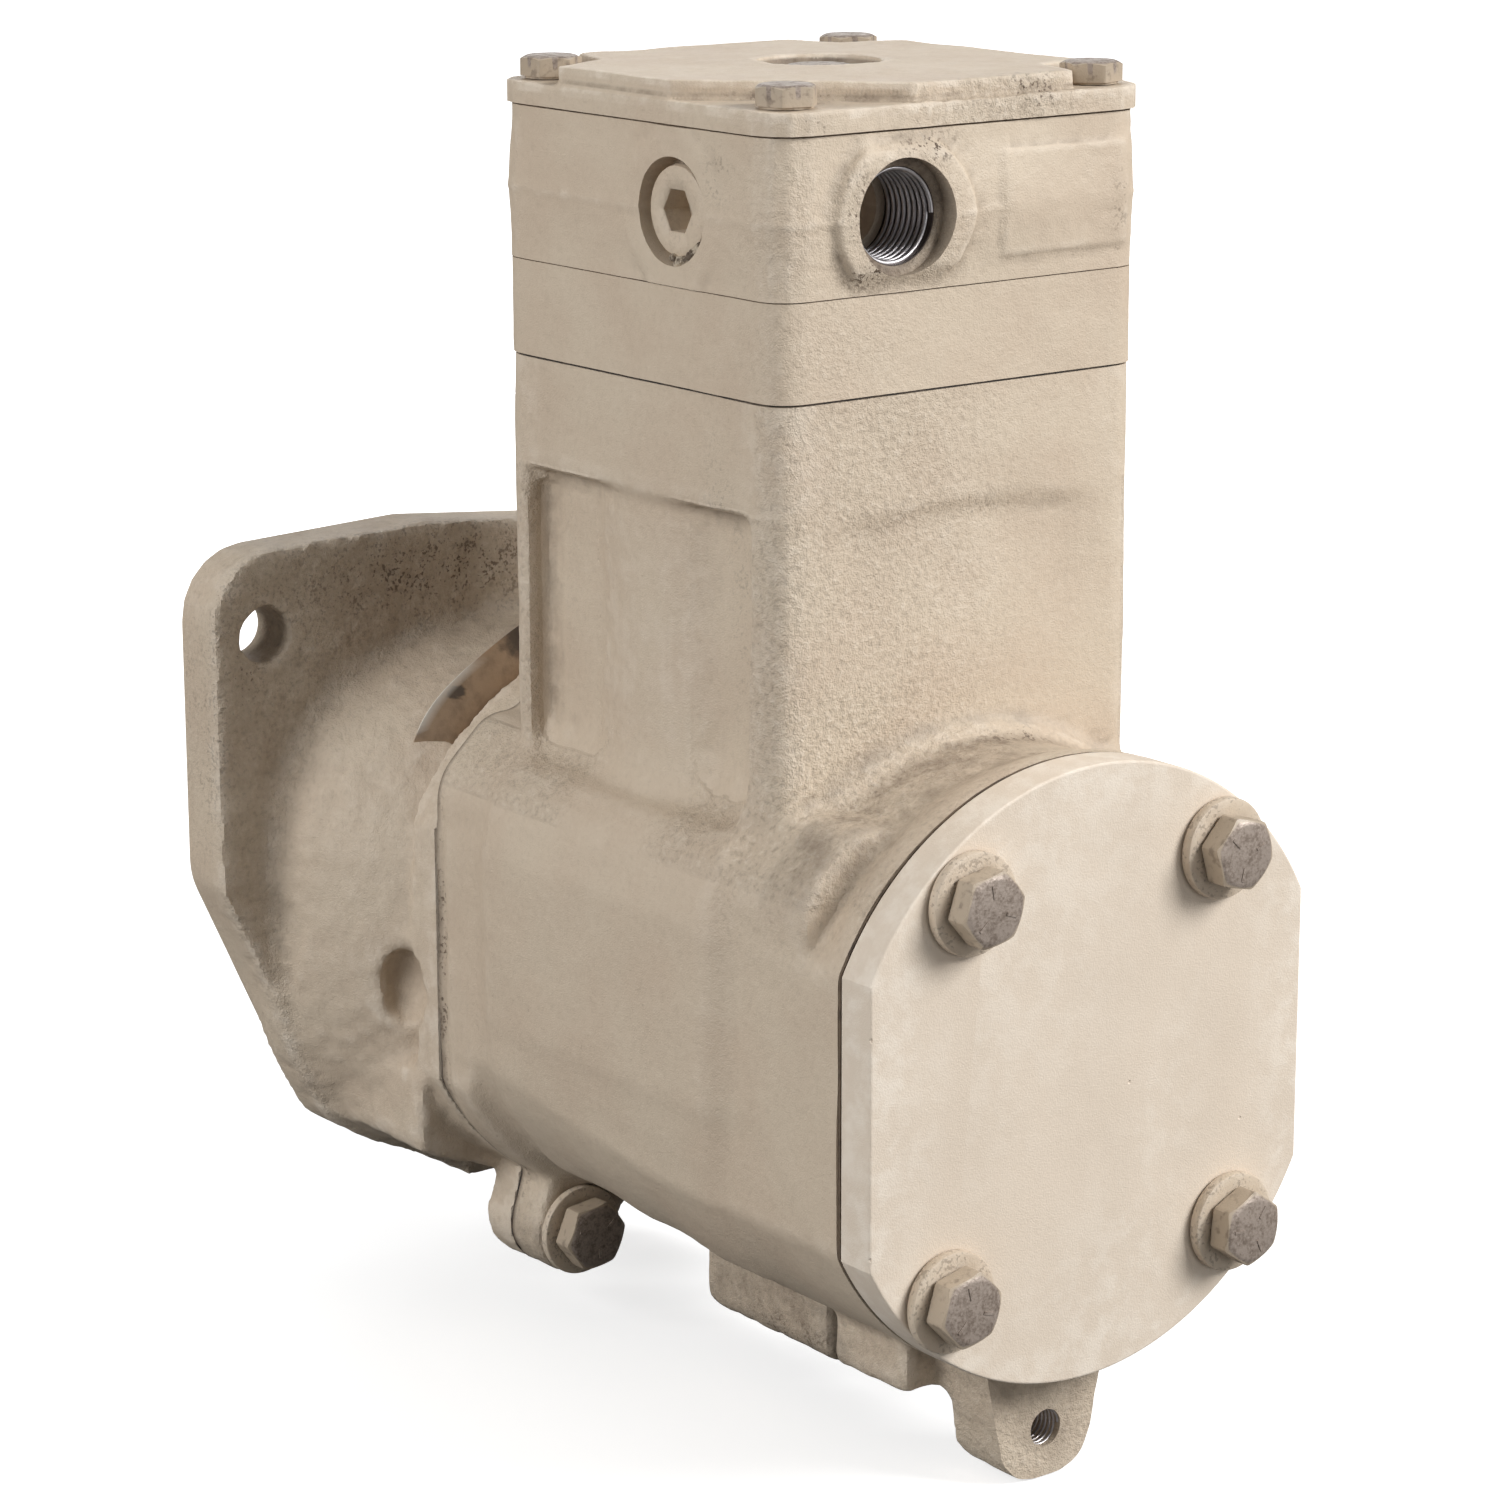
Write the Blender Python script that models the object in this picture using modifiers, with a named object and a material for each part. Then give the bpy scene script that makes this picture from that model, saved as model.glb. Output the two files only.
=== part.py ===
"""A flange-mounted, single-cylinder, engine-driven air compressor.

The origin is on the crank axis, in the mating face of the drive flange. The crank axis runs
along Y, the end cover faces -Y and the cylinder stands up along Z. Sizes are in millimetres,
and MM turns them into Blender's metres. The crank rests at mid stroke, its pin towards +X.
"""

import math

import bmesh
import bpy
from mathutils import Matrix, Vector

MM = 0.001
GAP = 0.3  # between faces that touch on the real machine

# Driving dimensions
CYLINDER_Y = -136.0  # the cylinder axis, from the mating face of the flange
BORE = 92.08
CRANK_RADIUS = 22.22
ROD_LENGTH = 98.0
BODY_HALF = 53.9  # the square column round the cylinder
BODY_CORNER = 6.5
HEAD_HALF = 54.2
HEAD_CORNER = 7.0
HEAD_MIDDLE_Z = 194.0  # the head swells up to here
COVER_HALF = 55.3
BARREL_RADIUS = 65.0
RIM_RADIUS = 73.0  # both machined ends of the crankcase, cut flat at RIM_HALF
RIM_HALF = 65.2
CHAMBER_RADIUS = 58.0
DECK_Z = 153.0
PLATE_TOP_Z = 175.9
HEAD_BOTTOM_Z = 177.1
HEAD_TOP_Z = 212.3
COVER_BOTTOM_Z = 213.7
LAND_Z = 218.6
PAD_Z = 223.0
FRONT_Y = CYLINDER_Y - 89.5  # machined front face of the crankcase
REAR_Y = CYLINDER_Y + 69.1  # machined rear face of the crankcase
HOUSING_Y = REAR_Y + 1.2
BAND_BACK_Y = CYLINDER_Y + 82.0
FLANGE_FRONT_Y = -16.0
HEAD_BOLT_SPREAD = 45.0
COVER_THICKNESS = 10.5
COVER_GAP = 1.2  # between crankcase and end cover, with the gasket in it
PASSAGE_SPREAD = 26.0  # from the cylinder axis to each air passage
COVER_BOLTS = ((-37.9, 47.9), (37.9, 47.9), (43.2, -44.4), (-43.2, -44.4))
HOUSING_BOLTS = ((-20.0, 77.0), (20.0, 77.0), (32.6, -75.3), (-32.6, -75.3))
FLANGE_HOLES = ((-82.0, 75.5), (82.0, 71.0), (0.0, -67.0))
FLANGE_HOLE_RADIUS = 7.2
PORT_Z = 193.6
PORT_X = -20.4
PORT_FACE_Y = CYLINDER_Y - 57.0
PLUG_Y = CYLINDER_Y - 15.7
PLUG_FACE_X = -55.0
REAR_PORT_X = 20.4
COUNTERBORE_RADIUS = 13.4
PLUG_RECESS_RADIUS = 12.4
PLUG_RADIUS = 10.5
THREAD_RADIUS = 9.6
FOOT_X = -2.5
FOOT_HOLE_Z = -89.5
PISTON_RADIUS = 45.4
CROWN_HEIGHT = 32.5  # from the wrist pin's axis to the crown
SKIRT_DEPTH = 25.0  # from the wrist pin's axis to the skirt's lower edge
GROOVES = ((6.0, 2.5), (11.5, 2.5), (17.5, 4.0))  # depth under the crown, and height
JOURNAL_RADIUS = 16.0
REAR_JOURNAL_RADIUS = 19.0
CRANKPIN_RADIUS = 13.0
WRIST_PIN_RADIUS = 10.0
WRIST_CLEARANCE = 1.9  # the open pivot of the slider-crank

# castings whose many crossing cuts leave open edges with the EXACT solver
MANIFOLD_CUTS = ("crankcase", "valve_plate", "connecting_rod")

# The small end rests a little past the wrist pin's axis, and swings back over it either way.
EYE_OFFSET = 1.49
ROD_TILT = -math.asin((CRANK_RADIUS - EYE_OFFSET) / ROD_LENGTH)
WRIST_Z = ROD_LENGTH * math.cos(ROD_TILT)
CROWN_Z = WRIST_Z + CROWN_HEIGHT

FACING = {
    "up": Matrix.Identity(4),
    "front": Matrix.Rotation(math.radians(90), 4, "X"),
    "back": Matrix.Rotation(math.radians(-90), 4, "X"),
    "left": Matrix.Rotation(math.radians(-90), 4, "Y"),
}

for old in list(bpy.data.objects):
    bpy.data.objects.remove(old, do_unlink=True)

PARTS = bpy.data.collections.new("air_compressor")
CUTTERS = bpy.data.collections.new("cutters")
bpy.context.scene.collection.children.link(PARTS)
bpy.context.scene.collection.children.link(CUTTERS)

# name: (colour, roughness, metallic)
FINISHES = {
    "tan_paint": ((0.48, 0.40, 0.30), 0.55, 0.0),
    "worn_bolt": ((0.42, 0.38, 0.33), 0.45, 0.6),
    "bare_steel": ((0.55, 0.55, 0.56), 0.35, 1.0),
    "ground_steel": ((0.62, 0.62, 0.64), 0.2, 1.0),
    "cast_aluminium": ((0.72, 0.72, 0.72), 0.4, 1.0),
    "bearing_bronze": ((0.60, 0.42, 0.20), 0.35, 1.0),
    "gasket_fibre": ((0.05, 0.045, 0.04), 0.9, 0.0),
    "seal_rubber": ((0.02, 0.02, 0.02), 0.7, 0.0),
    "spring_steel": ((0.35, 0.35, 0.37), 0.3, 1.0),
    "sheet_steel": ((0.50, 0.40, 0.28), 0.4, 0.3),
}


def finish_of(name, finish):
    """Makes the Principled material of one node."""
    colour, roughness, metallic = FINISHES[finish]
    material = bpy.data.materials.new(name + "_" + finish)
    material.use_nodes = True
    shader = material.node_tree.nodes["Principled BSDF"]
    shader.inputs["Base Color"].default_value = (*colour, 1.0)
    shader.inputs["Roughness"].default_value = roughness
    shader.inputs["Metallic"].default_value = metallic
    return material


def add_object(name, mesh, finish=None, at=(0, 0, 0), facing="up"):
    """Puts a mesh in the scene: as a part when it has a finish, otherwise as a cutter."""
    obj = bpy.data.objects.new(name, mesh)
    if finish:
        PARTS.objects.link(obj)
        if not mesh.materials:
            mesh.materials.append(finish_of(name, finish))
    else:
        CUTTERS.objects.link(obj)
        obj.hide_render = True
        obj.display_type = "WIRE"
    place = Matrix.Translation(Vector(at) * MM) @ FACING[facing]
    obj.location, obj.rotation_euler = place.to_translation(), place.to_euler()
    return obj


def smooth(mesh):
    """Shades a mesh smooth, except at its edges."""
    mesh.shade_smooth()
    mesh.set_sharp_from_angle(angle=math.radians(35))


def box(name, low, high, finish=None):
    """A block between two corners."""
    low, high = Vector(low) * MM, Vector(high) * MM
    bm = bmesh.new()
    bmesh.ops.create_cube(bm, size=1.0)
    bmesh.ops.scale(bm, vec=high - low, verts=bm.verts)
    mesh = bpy.data.meshes.new(name)
    bm.to_mesh(mesh)
    bm.free()
    return add_object(name, mesh, finish, at=(low + high) / 2 / MM)


def cylinder(name, radius, length, at, facing="up", finish=None, steps=24, end_radius=None):
    """A cylinder or cone that starts at a point and runs the way it faces."""
    bm = bmesh.new()
    bmesh.ops.create_cone(
        bm,
        cap_ends=True,
        segments=steps,
        radius1=radius * MM,
        radius2=(radius if end_radius is None else end_radius) * MM,
        depth=length * MM,
        matrix=Matrix.Translation((0, 0, length * MM / 2)),
    )
    mesh = bpy.data.meshes.new(name)
    bm.to_mesh(mesh)
    bm.free()
    smooth(mesh)
    return add_object(name, mesh, finish, at, facing)


def turned(name, profile, at=(0, 0, 0), facing="up", finish=None, steps=24, closed=False):
    """A turned shape from (radius, height) points that run down its outer side."""
    mesh = bpy.data.meshes.new(name)
    points = [(r * MM, 0, h * MM) for r, h in profile]
    edges = [(i, i + 1) for i in range(len(points) - 1)]
    if closed:
        edges.append((len(points) - 1, 0))
    mesh.from_pydata(points, edges, [])
    obj = add_object(name, mesh, finish, at, facing)
    screw = obj.modifiers.new("turn", "SCREW")
    screw.steps = screw.render_steps = steps
    screw.use_merge_vertices = True
    screw.merge_threshold = 0.00001
    screw.use_smooth_shade = False
    return obj


def tube(name, inner, outer, length, at, facing="up", finish=None, steps=24):
    """A ring or bush that starts at a point and runs the way it faces."""
    profile = ((outer, length), (outer, 0), (inner, 0), (inner, length))
    return turned(name, profile, at, facing, finish, steps, closed=True)


def circle(radius, centre=(0, 0), steps=24):
    """The outline of a circle."""
    angles = [2 * math.pi * i / steps for i in range(steps)]
    return [(centre[0] + radius * math.cos(a), centre[1] + radius * math.sin(a)) for a in angles]


def rounded(corners, steps=3):
    """An outline through (x, y, radius) corners, each corner turned into an arc."""
    outline = []
    for i, (x, y, radius) in enumerate(corners):
        here = Vector((x, y))
        before = (Vector(corners[i - 1][:2]) - here).normalized()
        after = (Vector(corners[(i + 1) % len(corners)][:2]) - here).normalized()
        half = before.angle(after) / 2
        centre = here + (before + after).normalized() * (radius / math.sin(half))
        start = here + before * (radius / math.tan(half)) - centre
        end = here + after * (radius / math.tan(half)) - centre
        turn = start.angle_signed(end)
        for step in range(steps + 1):
            spoke = start.copy()
            spoke.rotate(Matrix.Rotation(-turn * step / steps, 2))
            outline.append(tuple(centre + spoke))
    return outline


def rounded_square(half, radius, steps=3, centre=(0, 0)):
    """The outline of a square with round corners."""
    signs = ((1, 1), (-1, 1), (-1, -1), (1, -1))
    return rounded([(centre[0] + half * sx, centre[1] + half * sy, radius) for sx, sy in signs], steps)


def flat_circle(radius, half, steps=24):
    """A circle cut flat at x = half and x = -half."""
    limit = math.acos(half / radius)
    arc = [limit + (math.pi - 2 * limit) * i / steps for i in range(steps + 1)]
    top = [(radius * math.cos(a), radius * math.sin(a)) for a in arc]
    return top + [(-x, -z) for x, z in top]


def prism(name, loops, start, length, facing="up", finish=None, at=(0, 0)):
    """A flat outline with holes, run from a height along the way it faces.

    Facing front, the outline's (x, y) are the machine's (X, Z) and start is -Y.
    """
    curve = bpy.data.curves.new(name, "CURVE")
    curve.dimensions = "2D"
    curve.fill_mode = "BOTH"
    curve.extrude = length * MM / 2
    for loop in loops:
        spline = curve.splines.new("POLY")
        spline.points.add(len(loop) - 1)
        spline.use_cyclic_u = True
        for point, (x, y) in zip(spline.points, loop):
            point.co = ((x + at[0]) * MM, (y + at[1]) * MM, 0, 1)
    guide = bpy.data.objects.new(name, curve)
    bpy.context.scene.collection.objects.link(guide)
    graph = bpy.context.evaluated_depsgraph_get()
    mesh = bpy.data.meshes.new_from_object(guide.evaluated_get(graph))
    bpy.data.objects.remove(guide)
    bpy.data.curves.remove(curve)
    bm = bmesh.new()
    bm.from_mesh(mesh)
    bmesh.ops.remove_doubles(bm, verts=bm.verts, dist=0.000001)
    bmesh.ops.translate(bm, verts=bm.verts, vec=(0, 0, (start + length / 2) * MM))
    bmesh.ops.recalc_face_normals(bm, faces=bm.faces)
    bm.to_mesh(mesh)
    bm.free()
    mesh.name = name
    smooth(mesh)
    return add_object(name, mesh, finish, facing=facing)


def lofted(name, sections, facing="up", finish=None):
    """A solid through (height, outline) sections that all have as many points."""
    bm = bmesh.new()
    rings = [[bm.verts.new((x * MM, y * MM, height * MM)) for x, y in loop] for height, loop in sections]
    count = len(rings[0])
    for low, high in zip(rings, rings[1:]):
        for i in range(count):
            j = (i + 1) % count
            bm.faces.new((low[i], low[j], high[j], high[i]))
    bm.faces.new(rings[0])
    bm.faces.new(rings[-1])
    bmesh.ops.recalc_face_normals(bm, faces=bm.faces)
    mesh = bpy.data.meshes.new(name)
    bm.to_mesh(mesh)
    bm.free()
    smooth(mesh)
    return add_object(name, mesh, finish, facing=facing)


def combine(target, tools, operation):
    """Adds one Boolean modifier to the target for each tool."""
    for tool in tools:
        modifier = target.modifiers.new(tool.name, "BOOLEAN")
        modifier.operation = operation
        modifier.solver = "MANIFOLD" if target.name in MANIFOLD_CUTS else "EXACT"
        modifier.object = tool


def cut(target, *tools):
    """Takes the tools away from the target."""
    combine(target, tools, "DIFFERENCE")


def join(target, *tools):
    """Makes the tools one with the target."""
    combine(target, tools, "UNION")


def hex_bolt(name, flats, head, radius, length):
    """A hexagon head standing on z = 0 with its shank below: the mesh that its copies share."""
    hexagon = cylinder(name + "_head", flats / math.sqrt(3), head, (0, 0, 0), steps=6)
    shank = cylinder(name + "_shank", radius, length + 1, (0, 0, -length), steps=12)
    join(hexagon, shank)
    graph = bpy.context.evaluated_depsgraph_get()
    mesh = bpy.data.meshes.new_from_object(hexagon.evaluated_get(graph))
    for used in (hexagon, shank):
        bpy.data.objects.remove(used)
    mesh.name = name
    return mesh


def head_bolt_places():
    """The (x, y) of the four long bolts of the head."""
    signs = ((-1, -1), (1, -1), (1, 1), (-1, 1))
    return [(sx * HEAD_BOLT_SPREAD, CYLINDER_Y + sy * HEAD_BOLT_SPREAD) for sx, sy in signs]


def drill_head_bolts(target, low, length, radius=4.5):
    """Drills the four holes of the head bolts, from a height up."""
    for number, (x, y) in enumerate(head_bolt_places(), 1):
        cut(target, cylinder(f"{target.name}_bolt_hole_{number}", radius, length, (x, y, low), steps=12))


def column_outline(half, radius):
    """A square with round corners, on the cylinder axis."""
    return rounded_square(half, radius, centre=(0, CYLINDER_Y))


def on_cylinder(corners, steps=3):
    """A rounded outline whose corners are given from the cylinder axis."""
    return [(x, y + CYLINDER_Y) for x, y in rounded(corners, steps)]


# ---- Cylinder head group ----


def build_head_cover():
    """A plate with a raised pad, which is cut back round the four bolts."""
    cover = prism("head_cover", [column_outline(COVER_HALF, 9.5)], COVER_BOTTOM_Z, LAND_Z - COVER_BOTTOM_Z,
                  finish="tan_paint")
    pad = on_cylinder([(-54.2, -14, 2), (-15, -53, 2), (33, -53, 2), (36.5, -36.5, 5), (52.5, -33, 2),
                       (52.5, 32, 2), (36.5, 36.5, 5), (32, 52.5, 2), (-32, 52.5, 2), (-36.5, 36.5, 4),
                       (-54.2, 30, 2)])
    join(cover, prism("cover_pad", [pad], LAND_Z - 1, PAD_Z - LAND_Z + 1))
    cut(cover,
        cylinder("cap_counterbore", 15.2, 10, (0, CYLINDER_Y, 216.6)),
        cylinder("cap_hole", 8.4, 10, (0, CYLINDER_Y, 210)))
    drill_head_bolts(cover, COVER_BOTTOM_Z - 2, 14)


def gasket_plate(name, low, openings, half=HEAD_HALF - 0.1, thickness=0.6):
    """A flat gasket of the head's outline with its bolt holes and passages."""
    holes = [circle(4.8, place, 10) for place in head_bolt_places()]
    prism(name, [column_outline(half, 9)] + holes + openings, low, thickness, finish="gasket_fibre")


def build_head_gaskets():
    """The gaskets over and under the head, and on the cylinder's deck."""
    window = on_cylinder([(38, -38, 8), (38, 38, 8), (-38, 38, 8), (-38, -38, 8)])
    gasket_plate("head_cover_gasket", HEAD_TOP_Z + 0.4, [window])
    passages = [circle(6.5, (0, CYLINDER_Y + y), 20) for y in (-PASSAGE_SPREAD, 0, PASSAGE_SPREAD)]
    gasket_plate("cylinder_head_gasket", PLATE_TOP_Z + GAP, passages)
    bore = circle(BORE / 2 + 1, (0, CYLINDER_Y), 32)
    gasket_plate("valve_plate_gasket", DECK_Z + GAP, [bore], BODY_HALF - 0.1)


def build_cylinder_head():
    """The head casting with its three bosses, two air chambers and the unloader's bore."""
    head = lofted("cylinder_head", [(HEAD_BOTTOM_Z, column_outline(HEAD_HALF, HEAD_CORNER)),
                                    (HEAD_MIDDLE_Z, column_outline(HEAD_HALF + 0.8, 8.5)),
                                    (HEAD_TOP_Z, column_outline(HEAD_HALF + 0.1, 9))], finish="tan_paint")
    join(head,
         cylinder("port_boss", 22, 12, (PORT_X, PORT_FACE_Y + 12, PORT_Z), "front", steps=40,
                  end_radius=17.5),
         cylinder("plug_boss", 20, 10, (PLUG_FACE_X + 10, PLUG_Y, PORT_Z), "left", steps=40,
                  end_radius=16.5),
         cylinder("rear_port_boss", 22, 12, (REAR_PORT_X, CYLINDER_Y + 45, PORT_Z), "back", steps=40,
                  end_radius=17.5))
    for side in (-1, 1):
        near, far = sorted((CYLINDER_Y + side * 15, CYLINDER_Y + side * 38))
        chamber = box(f"air_chamber_{side}", (-37, near, 183), (37, far, HEAD_TOP_Z + 5))
        passage = cylinder(f"head_passage_{side}", 6.5, 20, (0, CYLINDER_Y + side * PASSAGE_SPREAD, 170))
        cut(head, chamber, passage)
    cut(head,
        cylinder("port_recess", COUNTERBORE_RADIUS, 20, (PORT_X, PORT_FACE_Y + 3.4, PORT_Z), "front"),
        cylinder("port_bore", THREAD_RADIUS, 40, (PORT_X, PORT_FACE_Y + 23, PORT_Z), "front"),
        cylinder("plug_recess", PLUG_RECESS_RADIUS, 20, (PLUG_FACE_X + 6, PLUG_Y, PORT_Z), "left"),
        cylinder("plug_bore", PLUG_RADIUS + 0.3, 45, (-30, PLUG_Y, PORT_Z), "left"),
        cylinder("rear_port_bore", THREAD_RADIUS, 40, (REAR_PORT_X, CYLINDER_Y + 30, PORT_Z), "back"),
        cylinder("cap_bore", 8.4, 30, (0, CYLINDER_Y, 192)),
        cylinder("unloader_bore", 5.8, 20, (0, CYLINDER_Y, 180)),
        cylinder("unloader_guide", 3.4, 20, (0, CYLINDER_Y, 170)))
    cut(head,
        box("joint_face_trim", (-90, -220, 160), (90, -50, HEAD_BOTTOM_Z)),
        box("top_face_trim", (-90, -220, HEAD_TOP_Z), (90, -50, 230)))
    drill_head_bolts(head, HEAD_BOTTOM_Z - 2, 40)


def build_valve_plate():
    """The plate under the head, with a pocket for each valve."""
    low, discharge_y = DECK_Z + 1.2, CYLINDER_Y + PASSAGE_SPREAD
    plate = prism("valve_plate", [column_outline(HEAD_HALF, HEAD_CORNER)], low, PLATE_TOP_Z - low,
                  finish="tan_paint")
    cut(plate,
        box("intake_channel", (-6.5, CYLINDER_Y - 32, 170), (6.5, CYLINDER_Y + 9.1, 180)),
        cylinder("intake_seat_hole", 8, 10, (0, CYLINDER_Y, 163)),
        cylinder("intake_valve_pocket", 12, 8.4, (0, CYLINDER_Y, 156.5)),
        cylinder("intake_outlet", 9, 10, (0, CYLINDER_Y, 150)),
        cylinder("discharge_inlet", 7, 14, (0, discharge_y, 150)),
        cylinder("discharge_valve_pocket", 12, 20, (0, discharge_y, 163)))
    drill_head_bolts(plate, DECK_Z - 2, 40)


def build_port_plug():
    """The side port's taper plug, with a hexagon socket in its face."""
    plug = cylinder("side_port_plug", PLUG_RADIUS - 0.15, 13, (PLUG_FACE_X + 14.5, PLUG_Y, PORT_Z), "left",
                    "tan_paint", end_radius=PLUG_RADIUS)
    cut(plug, cylinder("plug_socket", 9.5 / math.sqrt(3), 10, (PLUG_FACE_X + 9, PLUG_Y, PORT_Z), "left",
                       steps=6))


def build_unloader():
    """The hexagon cap in the head, and the spring-loaded piston that holds the intake valve open."""
    cap = cylinder("unloader_cap", 16 / math.sqrt(3), 5.4, (0, CYLINDER_Y, 217), finish="worn_bolt", steps=6)
    join(cap, cylinder("cap_shank", 8.0, 26, (0, CYLINDER_Y, 192.5)))
    cut(cap, cylinder("cap_inside", 5.8, 16, (0, CYLINDER_Y, 190)))
    turned("unloader_piston", ((0, 5.5), (5.3, 5.5), (5.3, 1.5), (3.0, 0), (3.0, -23.6), (0, -23.6)),
           (0, CYLINDER_Y, 188.5), finish="ground_steel", steps=12)
    spring("unloader_spring", 4.3, 0.35, 180.6, 187.9, 5, (0, CYLINDER_Y))


def spring(name, radius, wire, low, high, turns, at):
    """A round-wire coil between two heights, made of one bevelled curve."""
    curve = bpy.data.curves.new(name, "CURVE")
    curve.dimensions = "3D"
    curve.bevel_depth = wire * MM
    curve.bevel_resolution = 0
    curve.use_fill_caps = True
    spline = curve.splines.new("POLY")
    count = turns * 10
    spline.points.add(count)
    for i, point in enumerate(spline.points):
        angle = 2 * math.pi * turns * i / count
        height = low + wire + (high - low - 2 * wire) * i / count
        point.co = (radius * MM * math.cos(angle), radius * MM * math.sin(angle), height * MM, 1)
    obj = bpy.data.objects.new(name, curve)
    PARTS.objects.link(obj)
    curve.materials.append(finish_of(name, "spring_steel"))
    obj.location = (at[0] * MM, at[1] * MM, 0)


def build_valves():
    """The intake and discharge discs, each with its spring."""
    discharge_y = CYLINDER_Y + PASSAGE_SPREAD
    cylinder("intake_valve_disc", 10.5, 1.4, (0, CYLINDER_Y, 163.2), finish="spring_steel")
    spring("intake_valve_spring", 10.3, 0.4, 156.8, 162.9, 3, (0, CYLINDER_Y))
    cylinder("discharge_valve_disc", 10.5, 1.4, (0, discharge_y, 163.3), finish="spring_steel")
    spring("discharge_valve_spring", 9.0, 0.5, 165.0, 175.6, 4, (0, discharge_y))


# ---- Castings ----


def build_crankcase():
    """The casting with the crank chamber, the cylinder column, four joint lugs and the feet."""
    case = prism("crankcase", [column_outline(BODY_HALF, BODY_CORNER)], 0, DECK_Z, finish="tan_paint")
    shoulder = rounded([(BARREL_RADIUS, -10, 1), (BARREL_RADIUS, 46, 14), (50, 60, 10), (-50, 60, 10),
                        (-BARREL_RADIUS, 46, 14), (-BARREL_RADIUS, -10, 1)], 4)
    rim, neck = flat_circle(RIM_RADIUS, RIM_HALF), flat_circle(66, 65.1)
    hood = [point for point in flat_circle(70.5, 64.8) if point[1] > 0] + [(-64.8, -5), (64.8, -5)]
    front, back = -FRONT_Y, -REAR_Y
    join(case,
         prism("shoulder", [shoulder], back + 1, front - back - 14, "front"),
         cylinder("barrel", BARREL_RADIUS, front - back - 2, (0, REAR_Y - 1, 0), "front", steps=40),
         lofted("front_flare", [(front, rim), (front - 5, rim), (front - 26, neck)], "front"),
         lofted("rear_flare", [(back, rim), (back + 11, rim), (back + 19, neck)], "front"),
         prism("hood", [hood], -CYLINDER_Y + 40, 49, "front"))
    join(case, *joint_lugs(case.name, REAR_Y, 11.5), *case_feet())
    hollow_crankcase(case)
    recess_column(case)
    drill_head_bolts(case, DECK_Z - 22, 30)
    drill_crankcase(case)


def joint_lugs(owner, back, length):
    """The ears round the four bolts of the joint between crankcase and drive housing."""
    ears = []
    for number, (x, z) in enumerate(HOUSING_BOLTS, 1):
        inner = Vector((x, z)).normalized() * 58
        side = Vector((inner.y, -inner.x)).normalized() * 15
        root = [tuple(inner - side), tuple(inner + side)]
        first = math.atan2(z, x) - math.pi / 2
        nose = [(x + 12 * math.cos(first + math.pi * i / 10), z + 12 * math.sin(first + math.pi * i / 10))
                for i in range(11)]
        ears.append(prism(f"{owner}_ear_{number}", [root + nose], -back, length, "front"))
    return ears


def case_feet():
    """The threaded foot, the block beside it and the drain boss under the barrel."""
    tip = FOOT_HOLE_Z - 12
    tongue = rounded([(FOOT_X - 20, -64, 1), (FOOT_X - 11.9, tip, 11), (FOOT_X + 11.9, tip, 11),
                      (FOOT_X + 20, -64, 1)], 8)
    block = rounded([(-30, -50, 1), (-30, -81.5, 3), (24, -81.5, 3), (24, -50, 1)], 3)
    drain = rounded([(-21, -50, 1), (-20, -89, 6), (20, -89, 6), (21, -50, 1)], 4)
    return (prism("foot", [tongue], -FRONT_Y - 18, 17.8, "front"),
            prism("foot_block", [block], -CYLINDER_Y + 44, 27, "front"),
            prism("drain_boss", [drain], -CYLINDER_Y - 20, 50, "front"))


def hollow_crankcase(case):
    """Cuts the crank chamber and the cylinder bore, and leaves a hub round the front bearing."""
    front_wall, hub_end = -CYLINDER_Y + 58, -CYLINDER_Y + 30.8
    chamber = turned("crank_chamber", ((0, front_wall), (CHAMBER_RADIUS, front_wall),
                                       (CHAMBER_RADIUS, -REAR_Y - 5), (0, -REAR_Y - 5)),
                     facing="front", steps=40)
    cut(case, chamber, cylinder("cylinder_bore", BORE / 2, DECK_Z + 5, (0, CYLINDER_Y, 10), steps=40))
    hub = tube("front_bearing_hub", 19.3, 28, front_wall + 3 - hub_end, (0, -hub_end, 0), "front", steps=24)
    join(case, hub)
    cut(case,
        cylinder("front_bearing_bore", 19.3, 70, (0, -hub_end + 5, 0), "front", steps=24),
        cylinder("front_oil_recess", 45, 10, (0, FRONT_Y + 7, 0), "front", steps=40))


def recess_column(case):
    """The shallow panels on both sides of the column, with the round cylinder wall showing in them."""
    for side in (-1, 1):
        low, high = sorted((side * 47.0, side * 60.0))
        panel = box(f"side_panel_{side}", (low, CYLINDER_Y - 41.5, 52), (high, CYLINDER_Y + 45.5, 126.5))
        cut(panel, cylinder(f"panel_barrel_{side}", 52.4, 110, (0, CYLINDER_Y, 35), steps=40))
        cut(case, panel)


def drill_crankcase(case):
    """Drills the bolt holes at both ends, and the foot's tapping."""
    for number, (x, z) in enumerate(COVER_BOLTS, 1):
        cut(case, cylinder(f"cover_tapping_{number}", 5.3, 22, (x, FRONT_Y + 19, z), "front", steps=12))
    for number, (x, z) in enumerate(HOUSING_BOLTS, 1):
        cut(case, cylinder(f"case_bolt_hole_{number}", 5.4, 30, (x, REAR_Y + 5, z), "front", steps=12))
        cut(case, cylinder(f"case_spotface_{number}", 12.4, 12, (x, REAR_Y - 11.6, z), "front", steps=28))
    cut(case, cylinder("foot_thread", 4.2, 20, (FOOT_X, FRONT_Y + 14, FOOT_HOLE_Z), "front", steps=12))


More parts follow.
